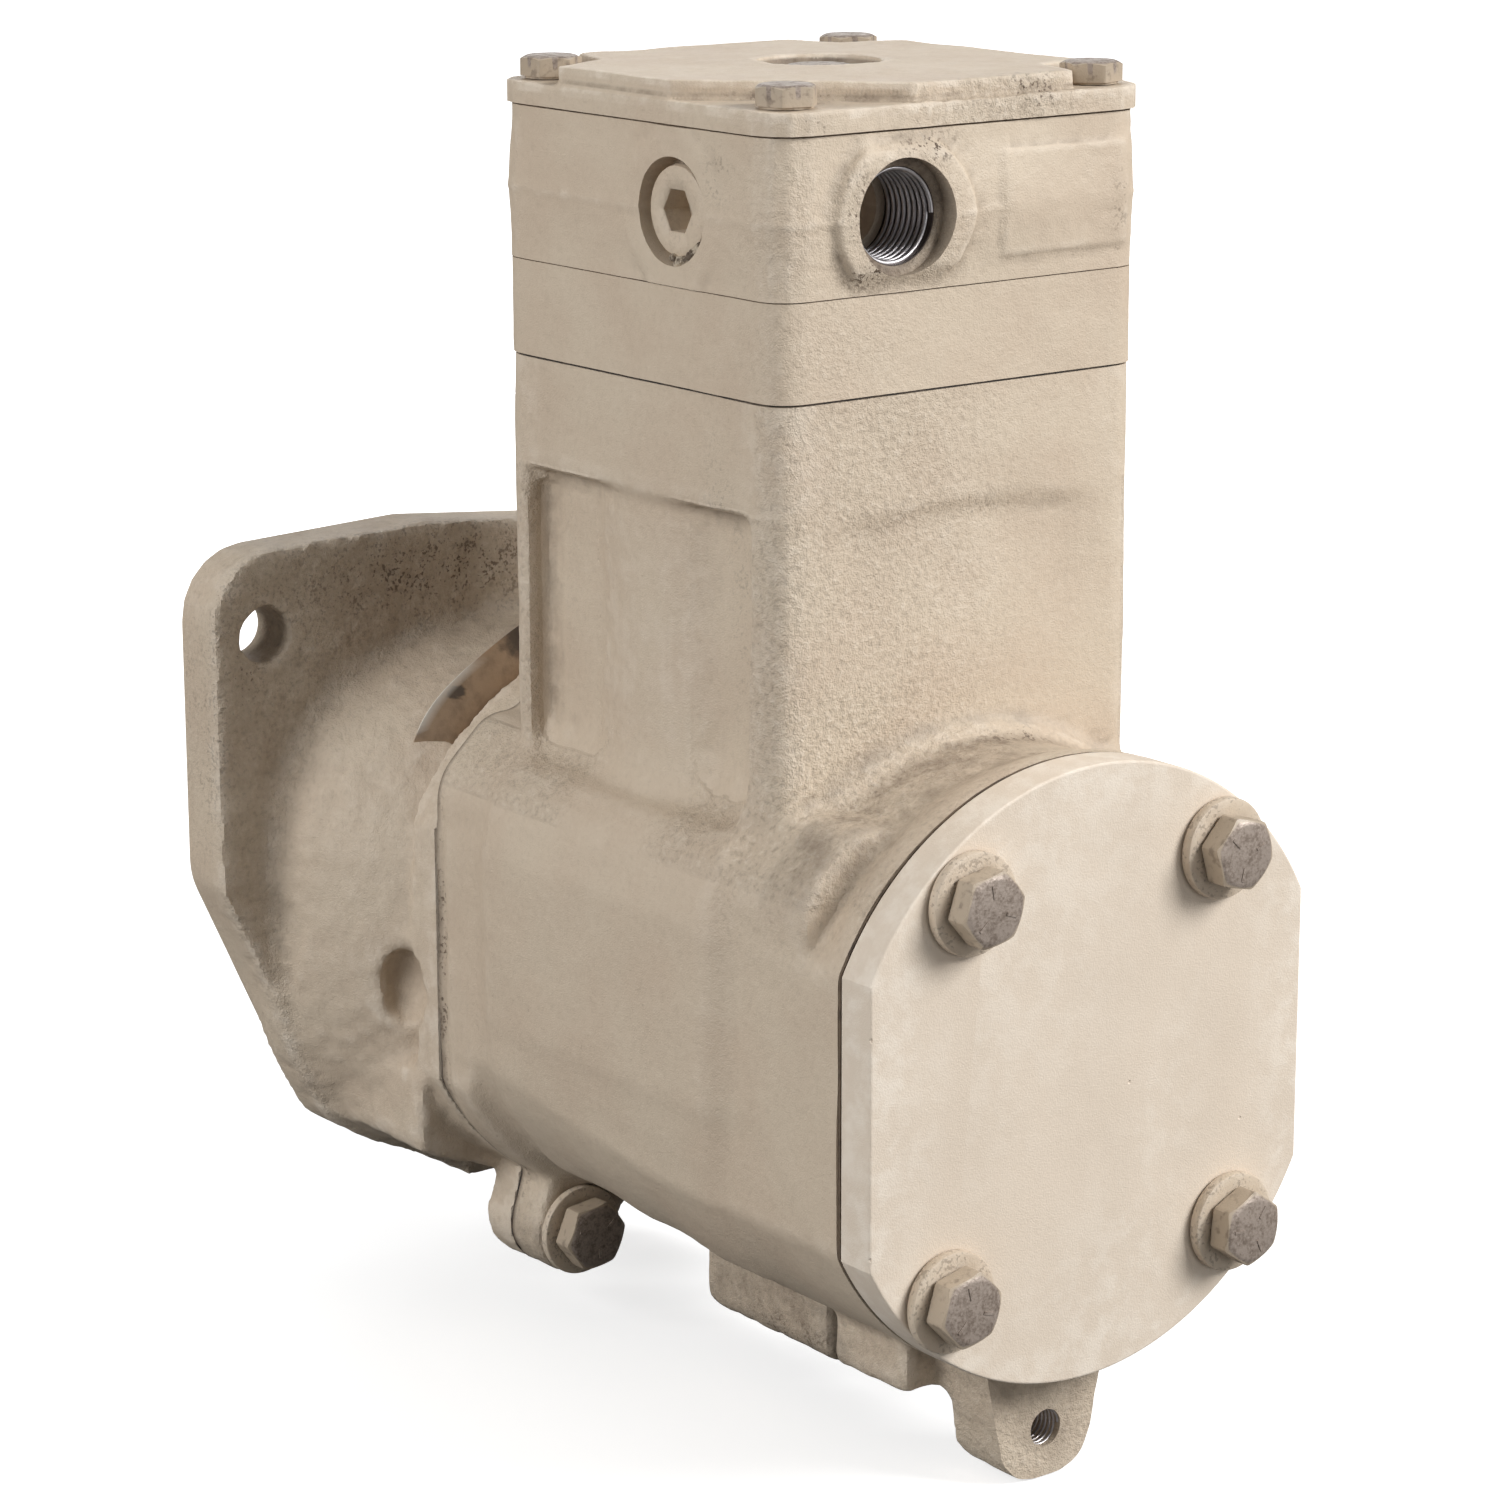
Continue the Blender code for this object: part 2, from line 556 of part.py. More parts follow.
def build_drive_housing():
    """The casting behind the crankcase, with the rear bearing and the drive flange."""
    band = flat_circle(RIM_RADIUS, RIM_HALF)
    front, back, flange = -HOUSING_Y, -BAND_BACK_Y, -FLANGE_FRONT_Y
    housing = prism("drive_housing", [band], back, front - back, "front", "tan_paint")
    oval = [(x * 1.14, z) for x, z in circle(69, steps=40)]
    barrel = lofted("housing_barrel", [(flange - 4, oval), (flange + 10, circle(66, steps=40)),
                                       (back + 2, circle(61.5, steps=40))], "front")
    sump = rounded([(66, -30, 6), (-66, -30, 6), (-66, -54, 4), (-30, -68, 8), (30, -68, 8),
                    (66, -54, 4)], 4)
    hub_length = HOUSING_Y - CYLINDER_Y - 30.3
    join(housing, barrel,
         prism("housing_sump", [sump], flange - 4, back - flange + 8, "front"),
         prism("drive_flange", [flange_outline()], 0, flange, "front"),
         cylinder("pilot", CHAMBER_RADIUS - 0.4, 14, (0, HOUSING_Y + 4, 0), "front", steps=40),
         cylinder("rear_bearing_hub", 30, hub_length, (0, HOUSING_Y + 4, 0), "front"))
    join(housing, *joint_lugs(housing.name, BAND_BACK_Y, front - back))
    cut(housing,
        turned("drive_recess", ((0, 18), (31, 18), (33, 44), (50, 44), (54, -4), (0, -4)),
               facing="front", steps=40),
        cylinder("rear_bearing_bore", 22.3, 140, (0, 5, 0), "front"))
    for number, (x, z) in enumerate(FLANGE_HOLES, 1):
        spot_y = FLANGE_FRONT_Y + 0.2
        cut(housing, cylinder(f"flange_hole_{number}", FLANGE_HOLE_RADIUS, 40, (x, 5, z), "front"))
        cut(housing, cylinder(f"flange_spotface_{number}", 13.5, 20, (x, spot_y, z), "front"))
    for number, (x, z) in enumerate(HOUSING_BOLTS, 1):
        tapping_y, relief_y = BAND_BACK_Y + 5, BAND_BACK_Y + 8
        cut(housing, cylinder(f"housing_tapping_{number}", 5.4, 30, (x, tapping_y, z), "front", steps=12))
        cut(housing, cylinder(f"bolt_tip_relief_{number}", 9, 8, (x, relief_y, z), "front", steps=12))


def flange_outline():
    """The drive flange seen from the end cover's side, in (X, Z)."""
    return rounded([(-97, 96, 18), (-33, 98.5, 12), (92, 86.5, 18), (97, 12, 20), (66, -56, 8),
                    (22, -81, 14), (-22, -81, 14), (-66, -56, 8), (-97, 12, 20)], 5)


# ---- Covers, gaskets and fasteners outside ----


def build_end_cover():
    """The flat cover in front of the crankcase, with its gasket."""
    outline = flat_circle(73.4, 65.5)
    holes = [circle(5.3, place, 12) for place in COVER_BOLTS]
    prism("end_cover", [outline] + holes, -FRONT_Y + COVER_GAP, COVER_THICKNESS, "front", "tan_paint")
    ring = [flat_circle(73.2, 65.3), circle(46, steps=40)] + holes
    prism("end_cover_gasket", ring, -FRONT_Y + GAP, 0.6, "front", "gasket_fibre")


def build_housing_gasket():
    """The gasket between crankcase and drive housing, with an ear at each bolt."""
    window = CHAMBER_RADIUS + 0.3
    gasket = prism("housing_gasket", [flat_circle(72.6, 64.8), circle(window, steps=40)],
                   -REAR_Y - 0.9, 0.6, "front", "gasket_fibre")
    join(gasket, *joint_lugs("gasket", REAR_Y + 0.9, 0.6))
    cut(gasket, cylinder("gasket_window", window, 5, (0, REAR_Y + 3, 0), "front", steps=40))
    for number, (x, z) in enumerate(HOUSING_BOLTS, 1):
        cut(gasket, cylinder(f"gasket_hole_{number}", 5.4, 5, (x, REAR_Y + 3, z), "front", steps=12))


def place_fasteners(kind, places, seat, radius, thickness, length, finish):
    """Puts a washer and a bolt, with their heads towards the end cover, at each place."""
    bolt = hex_bolt(kind + "_bolt_mesh", 16, 6.6, 4.8, length)
    under = seat - 2 * GAP - thickness
    for number, (x, z) in enumerate(places, 1):
        tube(f"{kind}_washer_{number}", 5.3, radius, thickness, (x, seat - GAP, z), "front", "tan_paint", 16)
        add_object(f"{kind}_bolt_{number}", bolt, finish, (x, under, z), "front")


def build_fasteners():
    """The bolts of the head, the end cover and the housing joint."""
    head_bolt = hex_bolt("head_bolt_mesh", 13, 5.3, 4.0, 85)
    for number, (x, y) in enumerate(head_bolt_places(), 1):
        add_object(f"head_bolt_{number}", head_bolt, "worn_bolt", (x, y, LAND_Z + GAP))
    cover_seat = FRONT_Y - COVER_GAP - COVER_THICKNESS
    place_fasteners("cover", COVER_BOLTS, cover_seat, 12.0, 2.8, 27, "worn_bolt")
    place_fasteners("housing", HOUSING_BOLTS, REAR_Y - 11.6, 11.6, 2.4, 28, "tan_paint")


# ---- Running gear ----


def build_crankshaft():
    """The crank turns about Y; its heights below run towards the flange."""
    y = CYLINDER_Y
    profile = ((0, y + 166), (9.5, y + 166), (9.5, y + 150), (14, y + 149.5), (14, y + 119),
               (REAR_JOURNAL_RADIUS, y + 118), (REAR_JOURNAL_RADIUS, y + 20), (0, y + 20))
    shaft = turned("crankshaft", profile, facing="back", finish="ground_steel")
    web = web_outline()
    join(shaft,
         cylinder("front_journal", JOURNAL_RADIUS, 65, (0, y - 20, 0), "front", steps=24),
         prism("front_web", [web], -y + 16, 14, "front"),
         prism("rear_web", [web], -y - 30, 14, "front"),
         cylinder("crankpin", CRANKPIN_RADIUS, 40, (CRANK_RADIUS, y + 20, 0), "front", steps=24))
    cut(shaft,
        box("keyway", (-2.3, y + 122, 11), (2.3, y + 146, 20)),
        cylinder("oil_way", 2.5, 60, (0, y - 30, 0), "front", steps=12))


def web_outline():
    """A crank web in X and Z: round at the pin, with a counterweight opposite."""
    pin_arc = [math.radians(-75 + 150 * i / 12) for i in range(13)]
    weight_arc = [math.radians(118 + 124 * i / 12) for i in range(13)]
    pin_side = [(CRANK_RADIUS + 18 * math.cos(a), 18 * math.sin(a)) for a in pin_arc]
    weight = [(43 * math.cos(a), 43 * math.sin(a)) for a in weight_arc]
    return pin_side + [(0, 23)] + weight + [(0, -23)]


def build_bearings():
    """The crank's bushes, thrust washer and seal."""
    y = CYLINDER_Y
    rear = REAR_JOURNAL_RADIUS
    tube("front_bush", JOURNAL_RADIUS + 0.35, 19.0, 44, (0, y - 36, 0), "front", "bearing_bronze")
    tube("rear_bush", rear + 0.35, 22.0, 62, (0, y + 98, 0), "front", "bearing_bronze")
    tube("thrust_washer", rear + 0.6, 28, 3.2, (0, y + 33.8, 0), "front", "bearing_bronze")
    tube("shaft_seal", rear + 0.4, 21.9, 8, (0, y + 110, 0), "front", "seal_rubber")


def build_drive_coupling():
    """The toothed sleeve on the crank's tail, with its key and nut."""
    y, teeth = CYLINDER_Y, 20
    outline = []
    for tooth in range(teeth):
        for part, radius in ((0.0, 26), (0.3, 26), (0.45, 29), (0.8, 29)):
            angle = 2 * math.pi * (tooth + part) / teeth
            outline.append((radius * math.cos(angle), radius * math.sin(angle)))
    coupling = prism("drive_coupling", [outline, circle(14.4)], -y - 148, 26, "front", "bare_steel")
    cut(coupling, box("coupling_keyway", (-2.6, y + 118, 5), (2.6, y + 150, 17.0)))
    box("coupling_key", (-2.0, y + 123, 11.4), (2.0, y + 145, 16.6), "bare_steel")
    nut = cylinder("coupling_nut", 30 / math.sqrt(3), 12, (0, y + 150.4, 0), "back", "bare_steel", steps=6)
    cut(nut, cylinder("nut_thread", 9.9, 30, (0, y + 140, 0), "back"))


def rod_frame(obj):
    """Puts a piece that was made along the rod, big end at its origin, on the crankpin."""
    obj.location = Vector((CRANK_RADIUS, CYLINDER_Y, 0)) * MM
    obj.rotation_euler = (0, ROD_TILT, 0)
    return obj


def along_rod(name, loops, start, length, finish=None):
    """A prism across the rod: the outline's y runs from the big end to the small end."""
    obj = prism(name, loops, start, length, finish=finish)
    obj.data.transform(FACING["front"])
    return rod_frame(obj)


def rod_hole(name, radius, height, steps=24):
    """A cutter across the rod, at a height over the big end."""
    obj = cylinder(name, radius, 60, (0, 0, 0), steps=steps)
    obj.data.transform(FACING["front"] @ Matrix.Translation((0, height * MM, -30 * MM)))
    return rod_frame(obj)


def rod_bolt_hole(name, x, low, length, radius):
    """A cutter along the rod, at a distance from its middle."""
    obj = cylinder(name, radius, length, (0, 0, 0), steps=12)
    obj.data.transform(Matrix.Translation((x * MM, 0, low * MM)))
    return rod_frame(obj)


def build_connecting_rod():
    """The rod, its cap and the two bolts between them."""
    half = 23.5
    shoulder = rounded([(half, 0.2, 0.5), (half, 13, 4), (9, 34, 6), (9, 88, 1), (-9, 88, 1), (-9, 34, 6),
                        (-half, 13, 4), (-half, 0.2, 0.5)], 3)
    rod = along_rod("connecting_rod", [shoulder], -13, 26, "bare_steel")
    eye = cylinder("small_end", 17, 26, (0, 0, 0), steps=24)
    eye.data.transform(FACING["front"] @ Matrix.Translation((0, ROD_LENGTH * MM, -13 * MM)))
    join(rod, rod_frame(eye))
    cap = along_rod("rod_cap", [rounded([(half, -0.2, 0.5), (half, -9, 4), (13, -18.5, 5), (-13, -18.5, 5),
                                         (-half, -9, 4), (-half, -0.2, 0.5)], 3)], -13, 26, "bare_steel")
    cut(rod, rod_hole("small_end_bore", 14.4, ROD_LENGTH), rod_hole("big_end_bore", 15.1, 0))
    cut(cap, rod_hole("cap_bore_lower", 15.1, 0))
    bolt = hex_bolt("rod_bolt_mesh", 7, 3.2, 2.4, 22)
    bolt.transform(Matrix.Rotation(math.pi, 4, "X"))
    for number, x in enumerate((-18.9, 18.9), 1):
        cut(rod, rod_bolt_hole(f"rod_tapping_{number}", x, -5, 17, 2.75))
        cut(cap, rod_bolt_hole(f"cap_bolt_hole_{number}", x, -30, 40, 2.75),
            rod_bolt_hole(f"cap_bolt_seat_{number}", x, -30, 17.7, 4.4))
        place = Matrix.Rotation(ROD_TILT, 3, "Y") @ Vector((x, 0, -12.6))
        place += Vector((CRANK_RADIUS, CYLINDER_Y, 0))
        screw = add_object(f"rod_bolt_{number}", bolt, "bare_steel", place)
        screw.rotation_euler = (0, ROD_TILT, 0)


def build_rod_bearings():
    """The two shells at the crankpin and the bush at the wrist pin."""
    arc = [math.pi * i / 12 for i in range(13)]
    for name, sign in (("upper_big_end_shell", 1), ("lower_big_end_shell", -1)):
        outer = [(14.8 * math.cos(a), sign * (0.25 + 14.5 * math.sin(a))) for a in arc]
        inner = [(13.4 * math.cos(a), sign * (0.25 + 13.3 * math.sin(a))) for a in reversed(arc)]
        along_rod(name, [outer + inner], -12.5, 25, "bearing_bronze")
    eye = [circle(radius, (0, ROD_LENGTH)) for radius in (14.1, WRIST_PIN_RADIUS + WRIST_CLEARANCE)]
    along_rod("small_end_bush", eye, -12.5, 25, "bearing_bronze")


def build_piston():
    """The piston, whose origin is on its wrist pin, with the pin and the rings."""
    profile = [(0, CROWN_HEIGHT), (PISTON_RADIUS - 0.5, CROWN_HEIGHT), (PISTON_RADIUS, CROWN_HEIGHT - 0.5)]
    for depth, height in GROOVES:
        top = CROWN_HEIGHT - depth
        profile += [(PISTON_RADIUS, top), (41.3, top), (41.3, top - height), (PISTON_RADIUS, top - height)]
    underside = CROWN_HEIGHT - 9
    profile += [(PISTON_RADIUS, -SKIRT_DEPTH), (41, -SKIRT_DEPTH), (39, 0), (37, underside), (0, underside)]
    at = (0, CYLINDER_Y, WRIST_Z)
    piston = turned("piston", profile, at, finish="cast_aluminium", steps=40)
    for side, facing in ((-1, "front"), (1, "back")):
        join(piston, cylinder(f"pin_boss_{facing}", 15.5, 24, (0, CYLINDER_Y + side * 16, WRIST_Z), facing))
    cut(piston, cylinder("pin_bore", WRIST_PIN_RADIUS + 0.3, 120, (0, CYLINDER_Y + 60, WRIST_Z), "front"))
    tube("wrist_pin", 5.5, WRIST_PIN_RADIUS, 80, (0, CYLINDER_Y + 40, WRIST_Z), "front", "ground_steel", 24)
    for name, (depth, height) in zip(("top_ring", "second_ring", "oil_ring"), GROOVES):
        ring = tube(name, 41.8, 45.75, height - 0.6, (0, CYLINDER_Y, CROWN_Z - depth - height + 0.3),
                    finish="bare_steel", steps=40)
        cut(ring, box(name + "_gap", (35, CYLINDER_Y - 0.6, CROWN_Z - 30), (50, CYLINDER_Y + 0.6, CROWN_Z)))


def build_tag():
    """A thin bent sheet behind the joint's upper left, held by one joint bolt."""
    inner, outer, bend, first, last, steps = 66.0, 76.0, 86.0, 97.0, 141.0, 12
    y = BAND_BACK_Y + 0.4
    bm = bmesh.new()
    rows = []
    for radius, shift in ((inner, 0.0), (outer, 0.0), (bend, 2.5)):
        angles = [math.radians(first + (last - first) * i / steps) for i in range(steps + 1)]
        rows.append([bm.verts.new((radius * math.cos(a) * MM, (y + shift) * MM, radius * math.sin(a) * MM))
                     for a in angles])
    for low, high in zip(rows, rows[1:]):
        for i in range(steps):
            bm.faces.new((low[i], high[i], high[i + 1], low[i + 1]))
    bmesh.ops.recalc_face_normals(bm, faces=bm.faces)
    mesh = bpy.data.meshes.new("joint_tag")
    bm.to_mesh(mesh)
    bm.free()
    tag = add_object("joint_tag", mesh, "sheet_steel")
    thick = tag.modifiers.new("sheet", "SOLIDIFY")
    thick.thickness = 0.6 * MM
    thick.offset = 0.0
    bolt_x, bolt_z = HOUSING_BOLTS[0]
    cut(tag, cylinder("tag_hole", 5.6, 20, (bolt_x, y + 10, bolt_z), "front", steps=12))


build_head_cover()
build_head_gaskets()
build_cylinder_head()
build_valve_plate()
build_port_plug()
build_unloader()
build_valves()
build_crankcase()
build_drive_housing()
build_end_cover()
build_housing_gasket()
build_fasteners()
build_crankshaft()
build_bearings()
build_drive_coupling()
build_connecting_rod()
build_rod_bearings()
build_piston()
build_tag()
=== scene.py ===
"""The looks of a flange-mounted, single-cylinder air compressor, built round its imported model.

Lengths are metres in the model's own frame: the crank axis runs along Y through the origin, the
mating face of the drive flange is at Y = 0, and the cylinder stands up along Z. The castings get
a cast skin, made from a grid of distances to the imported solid, and then machined like the real
ones. Fasteners, threads and sealant are laid out with Geometry Nodes.
"""
import logging
import math
from dataclasses import dataclass, field
from enum import Enum
from typing import Optional, Sequence

import bmesh
import bpy
import numpy as np
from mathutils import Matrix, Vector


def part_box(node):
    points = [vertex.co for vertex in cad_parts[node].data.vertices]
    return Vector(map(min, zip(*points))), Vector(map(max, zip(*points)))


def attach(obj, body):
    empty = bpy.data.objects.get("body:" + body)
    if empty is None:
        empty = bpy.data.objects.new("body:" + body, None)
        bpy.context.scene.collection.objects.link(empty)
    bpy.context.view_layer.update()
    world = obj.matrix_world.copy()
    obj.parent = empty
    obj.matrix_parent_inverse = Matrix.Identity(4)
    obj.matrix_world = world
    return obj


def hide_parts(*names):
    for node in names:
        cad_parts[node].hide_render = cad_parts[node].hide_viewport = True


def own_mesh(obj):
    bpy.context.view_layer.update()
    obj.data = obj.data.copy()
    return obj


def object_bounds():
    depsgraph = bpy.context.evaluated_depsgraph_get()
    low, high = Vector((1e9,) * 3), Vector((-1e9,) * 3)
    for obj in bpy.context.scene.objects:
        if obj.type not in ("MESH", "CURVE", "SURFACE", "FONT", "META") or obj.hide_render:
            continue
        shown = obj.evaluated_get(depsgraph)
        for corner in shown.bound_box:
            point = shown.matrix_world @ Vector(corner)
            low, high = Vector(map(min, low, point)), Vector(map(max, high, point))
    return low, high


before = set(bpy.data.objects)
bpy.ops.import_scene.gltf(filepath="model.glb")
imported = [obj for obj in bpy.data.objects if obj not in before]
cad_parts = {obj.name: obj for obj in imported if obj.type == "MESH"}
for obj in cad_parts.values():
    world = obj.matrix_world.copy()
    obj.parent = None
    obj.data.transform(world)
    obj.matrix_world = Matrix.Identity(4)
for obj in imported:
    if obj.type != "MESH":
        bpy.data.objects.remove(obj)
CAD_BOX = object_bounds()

import openvdb
from mathutils import Matrix, Vector

LOG = logging.getLogger("compressor")
CYLINDER_Y = -0.136    # where the cylinder stands
BAND = 6.0             # how far a level set reaches, in voxels
MARGIN = 8             # spare voxels round a casting
CAST_SHARP = 30.0      # degrees above which an edge of a cast piece stays sharp
MACHINED_SHARP = 12.0  # the same for a machined piece

Point = tuple[float, float, float]
Colour = tuple[float, float, float, float]
Mask = np.ndarray


class Facing(Enum):
    """The way the own axis of a turned or drilled shape points."""

    UP = (0.0, "X")
    DOWN = (180.0, "X")
    FRONT = (90.0, "X")
    BACK = (-90.0, "X")
    LEFT = (-90.0, "Y")

    def at(self, place: Sequence[float]) -> Matrix:
        """Gives the matrix that puts a shape made along +Z at a place, facing this way."""
        degrees, axis = self.value
        return Matrix.Translation(Vector(place)) @ Matrix.Rotation(math.radians(degrees), 4, axis)


class Axis(Enum):
    """The three directions of a cast field's grid."""

    X = 0
    Y = 1
    Z = 2


def direction(facing: Facing) -> Vector:
    """Gives the unit vector that a facing points along."""
    return facing.at((0, 0, 0)).to_3x3() @ Vector((0, 0, 1))


class Solver(Enum):
    """The ways to cut a shape, in the order that they are tried."""

    FAST = "MANIFOLD"
    EXACT = "EXACT"


# ---- Finishes ----


class Graph:
    """A short way to lay out the nodes of one material."""

    def __init__(self, name: str) -> None:
        """Starts a material that holds a Principled shader.

        Args:
            name: the material's name.
        """
        self.material = bpy.data.materials.new(name)
        self.material.use_nodes = True
        self.nodes = self.material.node_tree.nodes
        self.links = self.material.node_tree.links
        self.shader = self.nodes["Principled BSDF"]
        self.place = self.nodes.new("ShaderNodeTexCoord").outputs["Object"]

    def feed(self, socket: bpy.types.NodeSocket, value: object) -> None:
        """Links an output to a socket, or sets the socket to a plain value.

        Args:
            socket: the input.
            value: an output, a number or a colour.
        """
        if isinstance(value, bpy.types.NodeSocket):
            self.links.new(value, socket)
        else:
            socket.default_value = value

    def noise(self, scale: float, detail: float = 3.0, stretch: Optional[Point] = None,
              roughness: float = 0.55) -> bpy.types.NodeSocket:
        """Adds noise on object coordinates.

        Args:
            scale: how many features there are in a metre.
            detail: how many finer layers are added.
            stretch: scales the pattern along X, Y and Z, for streaks.
            roughness: how strong the finer layers are.

        Returns:
            The noise value, about 0.5 on average.
        """
        node = self.nodes.new("ShaderNodeTexNoise")
        node.inputs["Scale"].default_value = scale
        node.inputs["Detail"].default_value = detail
        node.inputs["Roughness"].default_value = roughness
        place = self.place
        if stretch:
            mapping = self.nodes.new("ShaderNodeMapping")
            mapping.inputs["Scale"].default_value = stretch
            self.links.new(place, mapping.inputs["Vector"])
            place = mapping.outputs["Vector"]
        self.links.new(place, node.inputs["Vector"])
        return node.outputs["Fac"]

    def math(self, kind: str, first: object, second: object = 0.0,
             clamp: bool = False) -> bpy.types.NodeSocket:
        """Adds a Math node of a kind such as MULTIPLY, and returns its value.

        Args:
            kind: the node's operation, such as MULTIPLY.
            first: its first input.
            second: its second input.
            clamp: keeps the result within 0..1.

        Returns:
            The value.
        """
        node = self.nodes.new("ShaderNodeMath")
        node.operation = kind
        node.use_clamp = clamp
        self.feed(node.inputs[0], first)
        self.feed(node.inputs[1], second)
        return node.outputs[0]

    def ramp(self, value: object, low: float, high: float, floor: float = 0.0,
             top: float = 1.0) -> bpy.types.NodeSocket:
        """Maps low..high of a value to floor..top, smoothly and clamped.

        Args:
            value: what is mapped.
            low: the value that gives the floor.
            high: the value that gives the top.
            floor: the result at low.
            top: the result at high.

        Returns:
            The mapped value.
        """
        node = self.nodes.new("ShaderNodeMapRange")
        node.interpolation_type = "SMOOTHSTEP"
        for socket, number in zip(("From Min", "From Max", "To Min", "To Max"), (low, high, floor, top)):
            node.inputs[socket].default_value = number
        self.feed(node.inputs["Value"], value)
        return node.outputs["Result"]

    def mix(self, factor: object, first: object, second: object) -> bpy.types.NodeSocket:
        """Mixes two colours, and returns the mixed one.

        Args:
            factor: 0 for the first colour, 1 for the second.
            first: the first colour.
            second: the second colour.

        Returns:
            The mixed colour.
        """
        node = self.nodes.new("ShaderNodeMix")
        node.data_type = "RGBA"
        self.feed(node.inputs["Factor"], factor)
        self.feed(node.inputs["A"], first)
        self.feed(node.inputs["B"], second)
        return node.outputs["Result"]

    def attribute(self, name: str) -> bpy.types.NodeSocket:
        """Reads a value that the mesh holds at each point.

        Args:
            name: the value's name.

        Returns:
            The value.
        """
        node = self.nodes.new("ShaderNodeAttribute")
        node.attribute_name = name
        return node.outputs["Fac"]

    def bump(self, height: object, depth: float, strength: float = 1.0) -> None:
        """Raises the surface by a height of 0..1 times a depth in metres.

        Args:
            height: the height at each place.
            depth: how far 1 stands out.
            strength: how much of it shows.
        """
        node = self.nodes.new("ShaderNodeBump")
        node.inputs["Strength"].default_value = strength
        node.inputs["Distance"].default_value = depth
        self.feed(node.inputs["Height"], height)
        self.links.new(node.outputs["Normal"], self.shader.inputs["Normal"])

    def finish(self, **sockets: object) -> bpy.types.Material:
        """Sets shader inputs, named with underscores for spaces, and returns the material.

        Args:
            sockets: the inputs and what feeds them.

        Returns:
            The finished material.
        """
        for name, value in sockets.items():
            self.feed(self.shader.inputs[name.replace("_", " ")], value)
        return self.material


def srgb(red: int, green: int, blue: int) -> Colour:
    """Turns an 8-bit display colour into a linear one.

    Args:
        red: the red channel, 0 to 255.
        green: the green channel.
        blue: the blue channel.

    Returns:
        The linear colour, fully opaque.
    """
    def linear(part: int) -> float:
        """Turns one 8-bit channel linear."""
        level = part / 255
        return level / 12.92 if level <= 0.04045 else ((level + 0.055) / 1.055) ** 2.4
    return (linear(red), linear(green), linear(blue), 1.0)


@dataclass(frozen=True)
class CastPaint:
    """Satin paint over a casting, with painted light in its colour: pale glints on the peel are painted
    highlights. It reads the point values rough, grime, worn, cavity and stain: cavity is painted shade in
    creases and corners, worn lightens rubbed edges and paints highlights on edges and beads, grime is soiling
    and in a few places painted shade, and stain darkens small places.
    """

    name: str = "sprayed_tan_paint"
    body: Colour = srgb(205, 189, 168)
    shade: Colour = srgb(200, 182, 161)
    # The dark colour below stands for soiling, and also for painted shade in creases and joints.
    dirt_and_shade: Colour = srgb(92, 76, 62)
    # The pale colour below paints highlights: glints on the peel, and lighter rubbed edges and beads.
    pale: Colour = srgb(226, 213, 196)
    base_rough: float = 0.0
    depth: float = 0.0008

    def build(self) -> bpy.types.Material:
        """Makes the material.

        Returns:
            The material.
        """
        g = Graph(self.name)
        rough = g.math("ADD", g.attribute("rough"), self.base_rough, clamp=True)
        peel, fine = g.noise(620.0, 4.0, roughness=0.6), g.noise(2400.0, 2.0)
        patch, cloud = g.noise(38.0, 4.0), g.noise(150.0, 5.0, roughness=0.65)
        colour = g.mix(g.ramp(patch, 0.32, 0.7), self.body, self.shade)
        # Painted highlight: pale glints on the high spots of the peel, for its sparkle.
        glint = g.math("MULTIPLY", g.ramp(peel, 0.52, 0.68), g.math("MULTIPLY", rough, 0.45))
        colour = g.mix(glint, colour, self.pale)
        pits = g.math("MULTIPLY", g.ramp(peel, 0.5, 0.3), g.math("MULTIPLY", rough, 0.3))
        colour = g.mix(pits, colour, self.dirt_and_shade)
        # Rubbed edges are lightened, with painted highlights on edges and beads.
        wear_and_highlight = g.math("MULTIPLY", g.attribute("wear_and_highlight"), g.ramp(cloud, 0.4, 0.65, 0.1, 0.75))
        colour = g.mix(wear_and_highlight, colour, self.pale)
        # Painted shade: creases and concave corners darkened, as the shade that falls in them.
        crevice = g.math("MULTIPLY", g.attribute("painted_shade"), g.ramp(cloud, 0.3, 0.7, 0.12, 0.5))
        colour = g.mix(crevice, colour, self.dirt_and_shade)
        # Soiling in specks; in a few marked places it is painted shade.
        specks = g.ramp(g.math("ADD", g.noise(1000.0, 3.0), g.math("MULTIPLY", cloud, 0.7)), 0.9, 1.02)
        speckled = g.math("ADD", g.math("MULTIPLY", specks, 1.1), 0.12)
        grime_and_shade = g.math("MULTIPLY", g.attribute("grime_and_shade"), speckled, clamp=True)
        colour = g.mix(grime_and_shade, colour, self.dirt_and_shade)
        darkening = g.math("MULTIPLY", g.attribute("darkening"), g.ramp(cloud, 0.3, 0.7, 0.45, 0.85))
        colour = g.mix(darkening, colour, self.dirt_and_shade)
        grain = g.math("MULTIPLY", rough, g.math("ADD", peel, g.math("MULTIPLY", fine, 0.35)))
        height = g.math("ADD", grain, g.math("MULTIPLY", g.math("ADD", fine, cloud), 0.1))
        g.bump(height, self.depth)
        gloss = g.ramp(g.math("ADD", cloud, g.math("MULTIPLY", rough, 0.1)), 0.3, 0.8, 0.46, 0.62)
        return g.finish(Base_Color=colour, Roughness=gloss, Specular_IOR_Level=0.38)


